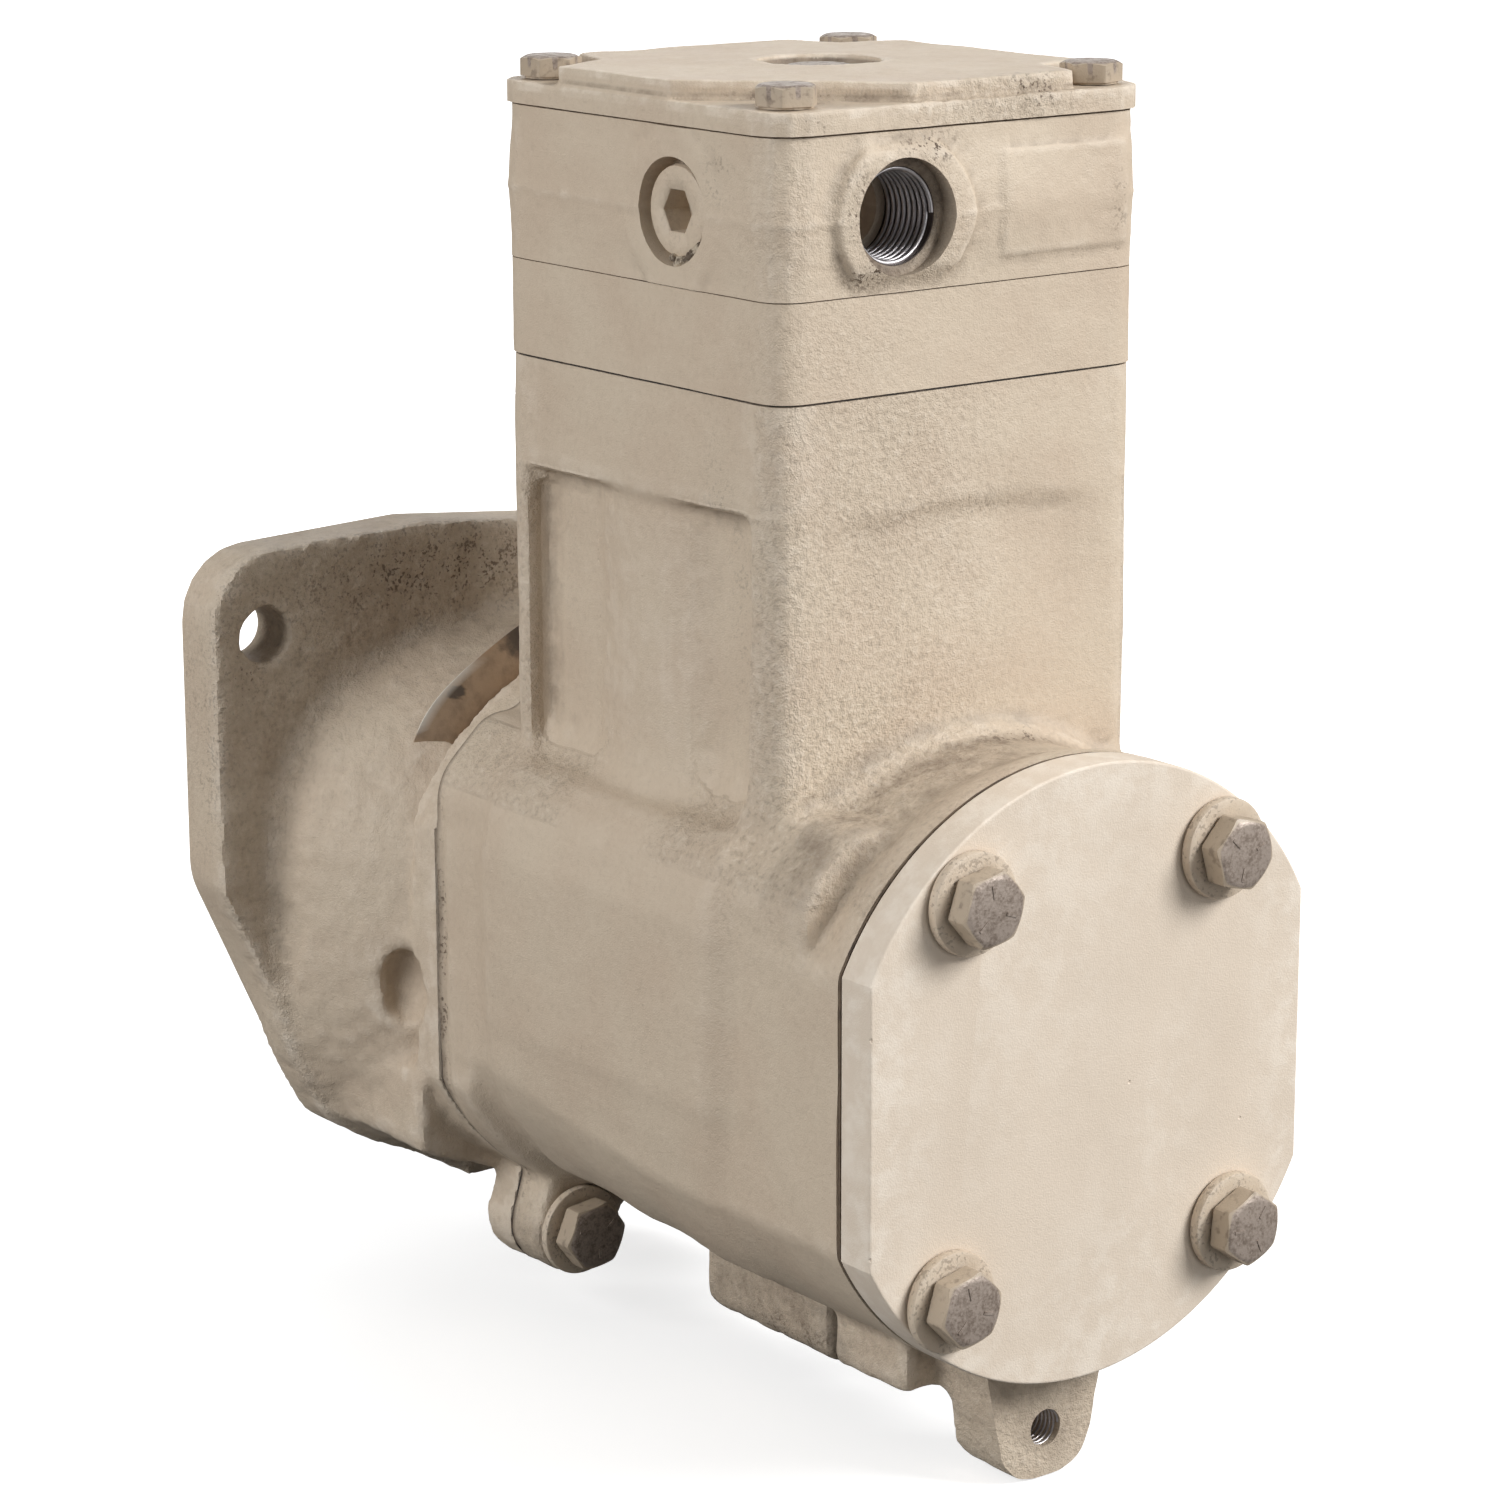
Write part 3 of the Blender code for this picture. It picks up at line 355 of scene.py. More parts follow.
@dataclass(frozen=True)
class WornBoltPaint:
    """Paint that has come off a bolt's top and corners. It reads the point value bare."""

    name: str = "worn_bolt_paint"
    paint: Colour = srgb(176, 160, 140)
    metal: Colour = srgb(168, 154, 143)
    dark: Colour = srgb(112, 98, 86)

    def build(self) -> bpy.types.Material:
        """Makes the material.

        Returns:
            The material.
        """
        g = Graph(self.name)
        speck, cloud, fine = g.noise(1500.0, 3.0), g.noise(420.0, 4.0), g.noise(4200.0, 2.0)
        bare = g.ramp(g.math("ADD", g.attribute("bare"), g.math("MULTIPLY", cloud, 0.5)), 0.55, 0.85)
        mottle = g.math("ADD", g.math("MULTIPLY", speck, 0.5), g.math("MULTIPLY", cloud, 0.5))
        metal = g.mix(g.ramp(mottle, 0.4, 0.66, 0.0, 0.85), self.metal, self.dark)
        paint = g.mix(g.ramp(cloud, 0.52, 0.7, 0.0, 0.6), self.paint, self.dark)
        g.bump(g.math("ADD", speck, g.math("MULTIPLY", fine, 0.4)), 0.00008)
        return g.finish(Base_Color=g.mix(bare, paint, metal), Metallic=g.math("MULTIPLY", bare, 0.3),
                        Roughness=g.ramp(cloud, 0.3, 0.7, 0.38, 0.6))


@dataclass(frozen=True)
class Metal:
    """A bare metal with machining marks, which run round or along one axis."""

    name: str
    colour: Colour
    dark: Colour
    roughness: float = 0.3
    stretch: Point = (1.0, 12.0, 1.0)
    marks: float = 260.0
    depth: float = 0.00005

    def build(self) -> bpy.types.Material:
        """Makes the material.

        Returns:
            The material.
        """
        g = Graph(self.name)
        lines, cloud = g.noise(self.marks, 3.0, self.stretch), g.noise(90.0, 5.0)
        darkening = g.ramp(cloud, 0.42, 0.75, 0.0, 0.75)
        g.bump(g.math("ADD", lines, g.math("MULTIPLY", g.noise(3000.0), 0.3)), self.depth)
        return g.finish(Base_Color=g.mix(darkening, self.colour, self.dark), Metallic=1.0,
                        Roughness=g.ramp(lines, 0.25, 0.75, self.roughness * 0.75, self.roughness * 1.5))


@dataclass(frozen=True)
class Dull:
    """A soft or fibrous finish with two mottled colours."""

    name: str
    colour: Colour
    other: Colour
    roughness: float = 0.85
    scale: float = 700.0
    share: tuple[float, float] = (0.45, 0.6)

    def build(self) -> bpy.types.Material:
        """Makes the material.

        Returns:
            The material.
        """
        g = Graph(self.name)
        fleck, fibre = g.noise(self.scale * 0.3, 3.0), g.noise(self.scale, 4.0, (1.0, 1.0, 3.0))
        g.bump(fibre, 0.00015)
        smooth, dry = self.roughness * 0.85, min(1.0, self.roughness * 1.1)
        return g.finish(Base_Color=g.mix(g.ramp(fleck, *self.share), self.colour, self.other),
                        Roughness=g.ramp(fibre, 0.3, 0.7, smooth, dry))


@dataclass(frozen=True)
class StainedSheet:
    """Thin sheet with rubbed, stained paint, a painted highlight on its bent edge and a painted dark
    reflection. It reads the point values worn and stain.
    """

    name: str = "stained_sheet"
    body: Colour = srgb(186, 160, 134)
    # The bright edge colour below is a painted highlight on the bent edge.
    edge: Colour = srgb(236, 230, 220)
    dark: Colour = srgb(84, 76, 70)

    def build(self) -> bpy.types.Material:
        """Makes the material.

        Returns:
            The material.
        """
        g = Graph(self.name)
        cloud, fine = g.noise(260.0, 4.0), g.noise(2200.0, 2.0)
        colour = g.mix(g.ramp(cloud, 0.4, 0.75, 0.0, 0.35), self.body, self.dark)
        darkening = g.ramp(g.math("ADD", g.attribute("darkening"), g.math("MULTIPLY", cloud, 0.5)), 0.62, 0.85)
        colour = g.mix(g.math("MULTIPLY", darkening, 0.85), colour, self.dark)
        g.bump(g.math("ADD", cloud, g.math("MULTIPLY", fine, 0.2)), 0.0002)
        return g.finish(Base_Color=g.mix(g.attribute("wear_and_highlight"), colour, self.edge),
                        Roughness=g.ramp(cloud, 0.3, 0.7, 0.32, 0.5))


class Finishes:
    """All the finishes of the compressor, each made once."""

    def __init__(self) -> None:
        """Makes every material."""
        self.paint = CastPaint().build()
        # Painted light: a lighter copy of the tan paint for the end cover, making up for the key lamp's
        # fall-off there.
        self.lit_cover_paint = CastPaint("lit_copy_of_tan_paint", srgb(222, 207, 189), srgb(217, 202, 184),
                                     pale=srgb(238, 228, 214)).build()
        self.smooth_paint = CastPaint("sprayed_fastener_paint", base_rough=0.12).build()
        self.bolt = WornBoltPaint().build()
        self.thread = Metal("cut_thread_steel", srgb(206, 203, 205), srgb(128, 118, 112), 0.4).build()
        # Painted shade: a dark steel for the grooves between thread ridges.
        self.thread_groove_shade = Metal("thread_groove_painted_shade", srgb(92, 84, 80), srgb(60, 52, 48), 0.5).build()
        self.steel = Metal("ground_steel_finish", srgb(190, 190, 194), srgb(140, 136, 132), 0.22).build()
        self.aluminium = Metal("cast_aluminium_finish", srgb(205, 205, 206), srgb(160, 158, 156), 0.4).build()
        self.bronze = Metal("bearing_bronze_finish", srgb(196, 148, 84), srgb(132, 92, 52), 0.34).build()
        self.spring = Metal("spring_steel_finish", srgb(120, 122, 128), srgb(70, 66, 64), 0.3).build()
        self.gasket = Dull("dark_gasket_fibre", srgb(52, 46, 42), srgb(84, 72, 62)).build()
        self.painted_gasket = Dull("painted_gasket", srgb(104, 88, 72), srgb(74, 62, 52),
                                   share=(0.45, 0.7)).build()
        self.rubber = Dull("seal_rubber_finish", srgb(30, 30, 31), srgb(44, 42, 41), 0.6).build()
        self.sheet = StainedSheet().build()
        self.sealant = Dull("dry_sealant", srgb(186, 172, 152), srgb(96, 82, 68), 0.7, 900.0).build()


# ---- Shapes ----


def outward(bm: bmesh.types.BMesh) -> None:
    """Points the faces of a closed mesh outwards.

    Args:
        bm: the closed mesh.
    """
    bmesh.ops.recalc_face_normals(bm, faces=bm.faces)
    if bm.calc_volume(signed=True) < 0:
        bmesh.ops.reverse_faces(bm, faces=bm.faces)


def object_of(name: str, mesh: bpy.types.Mesh, material: Optional[bpy.types.Material] = None,
              sharp: float = 32.0) -> bpy.types.Object:
    """Puts a mesh in the scene, shaded smooth up to an angle.

    Args:
        name: the piece's name.
        mesh: its mesh, already in place.
        material: its only material, if any.
        sharp: edges that turn more than this many degrees stay sharp.

    Returns:
        The new object, at the origin.
    """
    mesh.name = name
    mesh.shade_smooth()
    mesh.set_sharp_from_angle(angle=math.radians(sharp))
    if material:
        mesh.materials.clear()
        mesh.materials.append(material)
    obj = bpy.data.objects.new(name, mesh)
    bpy.context.scene.collection.objects.link(obj)
    return obj


def shade(obj: bpy.types.Object, sharp: float) -> None:
    """Shades a cut piece smooth again, with the edges above an angle in degrees kept sharp."""
    obj.data.shade_smooth()
    obj.data.set_sharp_from_angle(angle=math.radians(sharp))


def mesh_of(bm: bmesh.types.BMesh, name: str) -> bpy.types.Mesh:
    """Turns a bmesh into a mesh and frees it.

    Args:
        bm: the bmesh, which is gone afterwards.
        name: the mesh's name.

    Returns:
        The mesh.
    """
    mesh = bpy.data.meshes.new(name)
    bm.to_mesh(mesh)
    bm.free()
    return mesh


def turned(name: str, profile: Sequence[tuple[float, float]], place: Matrix,
           steps: int = 64) -> bpy.types.Mesh:
    """Makes a closed turned mesh.

    Args:
        name: the mesh's name.
        profile: radius and height of each point. It starts and ends on the axis, or is a closed ring.
        place: where the body's own axis goes.
        steps: how many sides it has.

    Returns:
        The mesh, in place, with its faces outwards.
    """
    bm = bmesh.new()
    angles = [math.tau * step / steps for step in range(steps)]
    rings = [[bm.verts.new((radius * math.cos(a), radius * math.sin(a), height)) for a in angles] if radius
             else [bm.verts.new((0, 0, height))] * steps for radius, height in profile]
    on_axis = profile[0][0] == 0 and profile[-1][0] == 0
    for lower, upper in list(zip(rings, rings[1:])) + ([] if on_axis else [(rings[-1], rings[0])]):
        for here in range(steps):
            after = (here + 1) % steps
            corners = dict.fromkeys((lower[here], lower[after], upper[after], upper[here]))
            bm.faces.new(list(corners))
    outward(bm)
    bm.transform(place)
    return mesh_of(bm, name)


def block(name: str, low: Point, high: Point) -> bpy.types.Mesh:
    """Makes a box between two corners.

    Args:
        name: the mesh's name.
        low: its lower corner.
        high: its upper corner.

    Returns:
        The closed mesh.
    """
    bm = bmesh.new()
    bmesh.ops.create_cube(bm, size=1.0)
    bmesh.ops.scale(bm, vec=Vector(high) - Vector(low), verts=bm.verts)
    bmesh.ops.translate(bm, vec=(Vector(high) + Vector(low)) / 2, verts=bm.verts)
    return mesh_of(bm, name)


def joined(name: str, meshes: Sequence[bpy.types.Mesh]) -> bpy.types.Mesh:
    """Puts several meshes into one, each as it is.

    Args:
        name: the mesh's name.
        meshes: the meshes to join.

    Returns:
        One mesh that holds them all.
    """
    bm = bmesh.new()
    for mesh in meshes:
        bm.from_mesh(mesh)
    return mesh_of(bm, name)


def applied(obj: bpy.types.Object) -> bpy.types.Object:
    """Bakes the object's modifiers into its mesh, and removes them.

    Args:
        obj: the object.

    Returns:
        The same object.
    """
    graph = bpy.context.evaluated_depsgraph_get()
    mesh = bpy.data.meshes.new_from_object(obj.evaluated_get(graph), preserve_all_data_layers=True,
                                           depsgraph=graph)
    obj.modifiers.clear()
    obj.data = mesh
    return obj


def cut(obj: bpy.types.Object, tools: Sequence[bpy.types.Mesh]) -> None:
    """Cuts closed meshes that stay clear of each other out of an object.

    Args:
        obj: the object that is cut.
        tools: the meshes to cut with.
    """
    tool = object_of("tool", joined("tool", tools))
    before = len(obj.data.vertices)
    for solver in Solver:
        modifier = obj.modifiers.new("cut", "BOOLEAN")
        modifier.operation, modifier.object, modifier.solver = "DIFFERENCE", tool, solver.value
        applied(obj)
        if len(obj.data.vertices) != before:
            break
        LOG.warning("%s: the %s cut changed nothing", obj.name, solver.value)
    bpy.data.objects.remove(tool)


def flat_circle(radius: float, half: float, steps: int = 48) -> list[tuple[float, float]]:
    """Gives a circle's outline with both sides cut flat at a half width.

    Args:
        radius: the circle's radius.
        half: half the width between its flats.
        steps: how many parts each arc has.

    Returns:
        The outline's points.
    """
    reach = math.acos(half / radius)
    points = []
    for start in (reach, math.pi + reach):
        span = math.pi - 2 * reach
        points += [(radius * math.cos(start + span * i / steps), radius * math.sin(start + span * i / steps))
                   for i in range(steps + 1)]
    return points


def plate(name: str, outline: Sequence[tuple[float, float]], low: float, high: float, place: Matrix,
          edge: float) -> bpy.types.Mesh:
    """Makes a flat plate with rounded rims.

    Args:
        name: the mesh's name.
        outline: the plate's outline, in order.
        low: the height of its lower face.
        high: the height of its upper face.
        place: where it goes.
        edge: the radius of its rims.

    Returns:
        The mesh, in place.
    """
    bm = bmesh.new()
    face = bm.faces.new([bm.verts.new((x, y, low)) for x, y in outline])
    made = bmesh.ops.extrude_face_region(bm, geom=[face])
    top = [v for v in made["geom"] if isinstance(v, bmesh.types.BMVert)]
    bmesh.ops.translate(bm, vec=(0, 0, high - low), verts=top)
    bmesh.ops.recalc_face_normals(bm, faces=bm.faces)
    rims = [e for e in bm.edges if abs(e.verts[0].co.z - e.verts[1].co.z) < 1e-9]
    bmesh.ops.bevel(bm, geom=rims, offset=edge, segments=3, affect="EDGES", profile=0.5)
    outward(bm)
    bm.transform(place)
    return mesh_of(bm, name)


@dataclass(frozen=True)
class Bore:
    """A machined round hole, from its mouth inwards."""

    mouth: Point
    facing: Facing
    radius: float
    depth: float
    steps: int = 56

    def tool(self) -> bpy.types.Mesh:
        """Makes the closed mesh that drills it, standing a little out of its mouth.

        Returns:
            The mesh, in place.
        """
        out, tip = 0.03, self.depth + self.radius * 0.4
        profile = ((0, out), (self.radius, out), (self.radius, -self.depth), (0, -tip))
        return turned("drill", profile, self.facing.at(self.mouth), self.steps)


class CastField:
    """A casting as distances on a grid: below zero in the metal, above zero outside."""

    def __init__(self, node: str, voxel: float) -> None:
        """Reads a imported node.

        Args:
            node: the node's name.
            voxel: the grid's pitch.
        """
        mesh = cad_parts[node].data
        mesh.calc_loop_triangles()
        points = np.empty(len(mesh.vertices) * 3, np.float32)
        mesh.vertices.foreach_get("co", points)
        corners = np.empty(len(mesh.loop_triangles) * 3, np.int32)
        mesh.loop_triangles.foreach_get("vertices", corners)
        self.node, self.voxel = node, voxel
        self.transform = openvdb.createLinearTransform(voxelSize=voxel)
        grid = openvdb.FloatGrid.createLevelSetFromPolygons(
            points.reshape(-1, 3), triangles=corners.reshape(-1, 3), transform=self.transform, halfWidth=BAND)
        low, high = grid.evalActiveVoxelBoundingBox()
        self.low = np.array(low) - MARGIN
        self.distance = np.zeros(np.array(high) + MARGIN - self.low + 1, np.float32)
        grid.copyToArray(self.distance, ijk=tuple(int(i) for i in self.low))
        lines = [(self.low[a] + np.arange(n)) * voxel for a, n in enumerate(self.distance.shape)]
        spread = np.meshgrid(*lines, indexing="ij", sparse=True)
        self.x, self.y, self.z = (line.astype(np.float32) for line in spread)

    def rod(self, bore: Bore, spare: float = 0.0) -> Mask:
        """Gives the distances to a round rod where a bore runs, wider by a spare.

        Args:
            bore: the hole that the rod fills.
            spare: how much wider and deeper the rod is.

        Returns:
            The distances.
        """
        lines = (self.x, self.y, self.z)
        along = direction(bore.facing)
        axis = max(range(3), key=lambda i: abs(along[i]))
        i, j = (other for other in range(3) if other != axis)
        height = (lines[axis] - bore.mouth[axis]) * along[axis]
        away = np.sqrt((lines[i] - bore.mouth[i]) ** 2 + (lines[j] - bore.mouth[j]) ** 2)
        radial = away - bore.radius - spare
        return np.maximum(radial, np.maximum(height, -bore.depth - spare * 2 - height))

    def box(self, low: Point, high: Point, radius: float = 0.0) -> Mask:
        """Gives the distances to a box between two corners, with rounded edges.

        Args:
            low: its lower corner.
            high: its upper corner.
            radius: the radius of its edges.

        Returns:
            The distances.
        """
        parts = []
        for line, a, b in zip((self.x, self.y, self.z), low, high):
            parts.append(np.abs(line - (a + b) / 2) - (b - a) / 2 + radius)
        outside = np.sqrt(sum(np.maximum(p, 0) ** 2 for p in parts))
        inside = np.minimum(np.maximum(np.maximum(parts[0], parts[1]), parts[2]), 0)
        return outside + inside - radius

    def add(self, other: Mask, blend: float | Mask = 0.0) -> None:
        """Joins another shape, with a fillet of about the blend's size.

        Args:
            other: the other shape's distances.
            blend: the size of the fillet, or 0 for a sharp corner.
        """
        if np.any(blend):
            share = np.clip(0.5 + 0.5 * (other - self.distance) / blend, 0, 1)
            self.distance = other * (1 - share) + self.distance * share - blend * share * (1 - share)
        else:
            self.distance = np.minimum(self.distance, other)

    def carve(self, other: Mask, blend: float = 0.0) -> None:
        """Takes another shape away, with a rounded edge of about the blend's size.

        Args:
            other: the other shape's distances.
            blend: the size of the rounded edge.
        """
        self.distance = -self.distance
        self.add(other, blend)
        self.distance = -self.distance

    def extend(self, axis: Axis, side: int, at: float) -> None:
        """Repeats the section at a height to the grid's end, so that a joint face gets no soft rim.

        Args:
            axis: the direction that it is repeated along.
            side: 1 for upwards and -1 for downwards.
            at: the height of the section.
        """
        index = int(round(at / self.voxel)) - self.low[axis.value]
        field = np.moveaxis(self.distance, axis.value, 0)
        if side > 0:
            field[index + 1:] = field[index]
        else:
            field[:index] = field[index]

    def blurred(self, passes: int, reach: int = 1) -> Mask:
        """Gives the distances averaged by box passes of a reach in grid steps along each axis.

        Args:
            passes: how many times it is averaged.
            reach: how many grid steps each average takes in on either side.

        Returns:
            The averaged distances.
        """
        result, width = self.distance, 2 * reach + 1
        for axis in range(3):
            margins = [(reach + 1, reach) if a == axis else (0, 0) for a in range(3)]
            for _ in range(passes):
                padded = np.pad(result, margins, "edge")
                sums = np.moveaxis(np.cumsum(padded, axis=axis, dtype=np.float64), axis, 0)
                result = np.moveaxis((sums[width:] - sums[:-width]) / width, 0, axis)
        return result.astype(np.float32)

    def soften(self, passes: int, keep: Optional[Mask] = None) -> None:
        """Rounds edges and fills corners.

        Args:
            passes: how many times each place is averaged with its neighbours.
            keep: 1 where the shape stays sharp and 0 where it is softened.
        """
        soft = self.blurred(passes)
        self.distance = soft if keep is None else soft * (1 - keep) + self.distance * keep

    def roughen(self, amount: float, cell: float, seed: int, where: Optional[Mask] = None) -> None:
        """Moves the surface in and out by smooth noise.

        Args:
            amount: how far, at most.
            cell: the size of its lumps.
            seed: fixes the noise.
            where: how strong it is at each place, from 0 to 1.
        """
        noise = np.random.default_rng(seed)
        steps = [np.arange(n) * self.voxel / cell for n in self.distance.shape]
        values = noise.uniform(-1, 1, [int(s[-1]) + 2 for s in steps]).astype(np.float32)
        for axis, step in enumerate(steps):
            whole = step.astype(int)
            part = step - whole
            part = (part * part * (3 - 2 * part)).astype(np.float32)
            part = part.reshape([-1 if a == axis else 1 for a in range(3)])
            values = np.take(values, whole, axis) * (1 - part) + np.take(values, whole + 1, axis) * part
        self.distance += amount * values * (1.0 if where is None else where)

    def mesh(self) -> bpy.types.Mesh:
        """Makes the closed mesh of the casting's surface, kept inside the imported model's box.

        Returns:
            The mesh, with its faces outwards.
        """
        self.distance = np.maximum(self.distance, self.box(tuple(CAD_BOX[0]), tuple(CAD_BOX[1])))
        grid = openvdb.FloatGrid(float(BAND * self.voxel))
        start = tuple(int(i) for i in self.low)
        grid.copyFromArray(np.ascontiguousarray(self.distance, np.float32), ijk=start)
        grid.transform = self.transform
        points, quads = grid.convertToQuads(isovalue=0.0)
        mesh = bpy.data.meshes.new(self.node)
        mesh.vertices.add(len(points))
        mesh.vertices.foreach_set("co", points.astype(np.float32).ravel())
        mesh.loops.add(quads.size)
        mesh.loops.foreach_set("vertex_index", quads[:, ::-1].astype(np.int32).ravel())
        mesh.polygons.add(len(quads))
        mesh.polygons.foreach_set("loop_start", np.arange(0, quads.size, 4, dtype=np.int32))
        mesh.update(calc_edges=True)
        bm = bmesh.new()
        bm.from_mesh(mesh)
        outward(bm)
        bm.to_mesh(mesh)
        bm.free()
        return mesh

    def sample(self, values: Mask, points: np.ndarray) -> np.ndarray:
        """Reads grid values at the nearest grid points to some places.

        Args:
            values: the grid values.
            points: the places.

        Returns:
            One value for each place.
        """
        index = np.round(points / self.voxel).astype(int) - self.low
        index = np.clip(index, 0, np.array(values.shape) - 1)
        return values[index[:, 0], index[:, 1], index[:, 2]]

    def edges(self, points: np.ndarray) -> tuple[np.ndarray, np.ndarray]:
        """Tells how sharp an edge and how deep a corner each point sits on, both 0..1.

        Args:
            points: the places.

        Returns:
            The sharpness and the depth at each place.
        """
        gain, start = 3, 0.2
        bend = self.sample(self.blurred(2, 2) - self.distance, points) / self.voxel
        return np.clip(bend * gain - start, 0, 1), np.clip(-bend * gain - start, 0, 1)


def smoothstep(value: np.ndarray, low: float, high: float) -> np.ndarray:
    """Goes smoothly from 0 at low to 1 at high."""
    share = np.clip((value - low) / (high - low), 0, 1)
    return share * share * (3 - 2 * share)


def points_of(obj: bpy.types.Object) -> np.ndarray:
    """Gives the places of a mesh's points.

    Args:
        obj: the object.

    Returns:
        One row for each point.
    """
    points = np.empty(len(obj.data.vertices) * 3, np.float32)
    obj.data.vertices.foreach_get("co", points)
    return points.reshape(-1, 3)


def mark(obj: bpy.types.Object, name: str, values: np.ndarray) -> None:
    """Writes a value at each point of a mesh, for its material to read."""
    attribute = obj.data.attributes.get(name) or obj.data.attributes.new(name, "FLOAT", "POINT")
    attribute.data.foreach_set("value", np.clip(values, 0, 1).astype(np.float32))


@dataclass(frozen=True)
class Spot:
    """A dirty or rough patch, as a soft ellipsoid."""

    centre: Point
    reach: Point
    strength: float = 1.0

    def at(self, points: np.ndarray) -> np.ndarray:
        """Tells how strong the patch is at each point."""
        away = (points - np.array(self.centre)) / np.array(self.reach)
        return self.strength * np.exp(-2 * (away ** 2).sum(1))


def spots_at(spots: Sequence[Spot], points: np.ndarray) -> np.ndarray:
    """Tells how strong the strongest patch is at each point."""
    return np.max([spot.at(points) for spot in spots], axis=0) if spots else np.zeros(len(points))


def settle(piece: bpy.types.Object, body: str, slot: str, *nodes: str) -> bpy.types.Object:
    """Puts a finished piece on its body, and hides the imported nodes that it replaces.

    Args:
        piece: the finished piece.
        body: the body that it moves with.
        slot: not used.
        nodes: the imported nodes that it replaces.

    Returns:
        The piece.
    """
    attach(piece, body)
    if nodes:
        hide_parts(*nodes)
    LOG.info("%s: %d faces, rides on %s", piece.name, len(piece.data.polygons), body)
    return piece


def dress(material: bpy.types.Material, *nodes: str) -> None:
    """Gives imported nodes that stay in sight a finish.

    Args:
        material: the finish.
        nodes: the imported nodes.
    """
    for name in nodes:
        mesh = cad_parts[name].data
        mesh.materials.clear()
        mesh.materials.append(material)
        LOG.info("%s: %s", name, material.name)


def refined(node: str, material: bpy.types.Material, body: str, slot: str,
            edge: float = 0.0004) -> bpy.types.Object:
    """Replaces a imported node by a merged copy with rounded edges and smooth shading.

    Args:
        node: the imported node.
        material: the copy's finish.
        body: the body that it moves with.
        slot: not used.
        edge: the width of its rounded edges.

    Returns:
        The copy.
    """
    sharp = 34.0
    bm = bmesh.new()
    bm.from_mesh(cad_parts[node].data)
    bmesh.ops.remove_doubles(bm, verts=bm.verts, dist=2e-6)
    bmesh.ops.dissolve_limit(bm, angle_limit=math.radians(1.0), verts=bm.verts, edges=bm.edges)
    piece = object_of(node + "_finished", mesh_of(bm, node), material, sharp)
    if edge:
        bevel = piece.modifiers.new("edge", "BEVEL")
        bevel.width, bevel.segments, bevel.limit_method = edge, 2, "ANGLE"
        bevel.angle_limit = math.radians(40)
        bevel.harden_normals = False
        applied(piece)
        shade(piece, sharp)
    return settle(piece, body, slot, node)


# ---- Geometry Nodes ----


class Tree:
    """A Geometry Nodes tree with named inputs, built step by step."""

    def __init__(self, name: str) -> None:
        """Starts a tree with a Geometry output.

        Args:
            name: the tree's name.
        """
        self.group = bpy.data.node_groups.new(name, "GeometryNodeTree")
        self.group.interface.new_socket("Geometry", in_out="INPUT", socket_type="NodeSocketGeometry")
        self.group.interface.new_socket("Geometry", in_out="OUTPUT", socket_type="NodeSocketGeometry")
        self.sockets: dict[str, str] = {}
        self.start = self.group.nodes.new("NodeGroupInput")
        self.end = self.group.nodes.new("NodeGroupOutput")

    def input(self, name: str, kind: str) -> bpy.types.NodeSocket:
        """Adds a named input of a kind such as Float, and returns its socket.

        Args:
            name: the input's name.
            kind: its kind of socket.

        Returns:
            The input's socket inside the tree.
        """
        socket = self.group.interface.new_socket(name, in_out="INPUT", socket_type=f"NodeSocket{kind}")
        self.sockets[name] = socket.identifier
        return self.start.outputs[name]

    def node(self, kind: str, **inputs: object) -> bpy.types.Node:
        """Adds a node, and links or sets the inputs named with underscores for spaces.

        Args:
            kind: the node's type.
            inputs: its inputs and what feeds them.

        Returns:
            The node.
        """
        node = self.group.nodes.new(kind)
        for name, value in inputs.items():
            self.feed(node.inputs[name.replace("_", " ")], value)
        return node

    def feed(self, socket: bpy.types.NodeSocket, value: object) -> None:
        """Links an output to a socket, or sets the socket to a plain value.

        Args:
            socket: the input.
            value: an output or a plain value.
        """
        if isinstance(value, bpy.types.NodeSocket):
            self.group.links.new(value, socket)
        else:
            socket.default_value = value

    def math(self, kind: str, first: object, second: object = 0.0) -> bpy.types.NodeSocket:
        """Adds a Math node, and returns its value.

        Args:
            kind: the node's operation, such as ADD.
            first: its first input.
            second: its second input.

        Returns:
            The value.
        """
        node = self.group.nodes.new("ShaderNodeMath")
        node.operation = kind
        for socket, value in zip(node.inputs, (first, second)):
            self.feed(socket, value)
        return node.outputs[0]

    def close(self, geometry: bpy.types.NodeSocket) -> None:
        """Ends the tree in Realize Instances and Set Material.

        Args:
            geometry: what the tree has made.
        """
        material = self.input("Material", "Material")
        real = self.node("GeometryNodeRealizeInstances", Geometry=geometry)
        dressed = self.node("GeometryNodeSetMaterial", Geometry=real.outputs[0], Material=material)
        self.group.links.new(dressed.outputs[0], self.end.inputs[0])

    def grow(self, name: str, base: bpy.types.Mesh, place: Matrix, **values: object) -> bpy.types.Object:
        """Runs the tree on a mesh and makes the result a plain mesh.

        Args:
            name: the new piece's name.
            base: the mesh that the tree starts from.
            place: where the result goes.
            values: the tree's inputs, named with underscores for spaces.

        Returns:
            The new piece, at the origin.
        """
        obj = bpy.data.objects.new(name, base)
        bpy.context.scene.collection.objects.link(obj)
        modifier = obj.modifiers.new("nodes", "NODES")
        modifier.node_group = self.group
        for key, value in values.items():
            modifier[self.sockets[key.replace("_", " ")]] = value
        obj.update_tag()
        bpy.context.view_layer.update()
        applied(obj)
        obj.data.transform(place)
        return obj


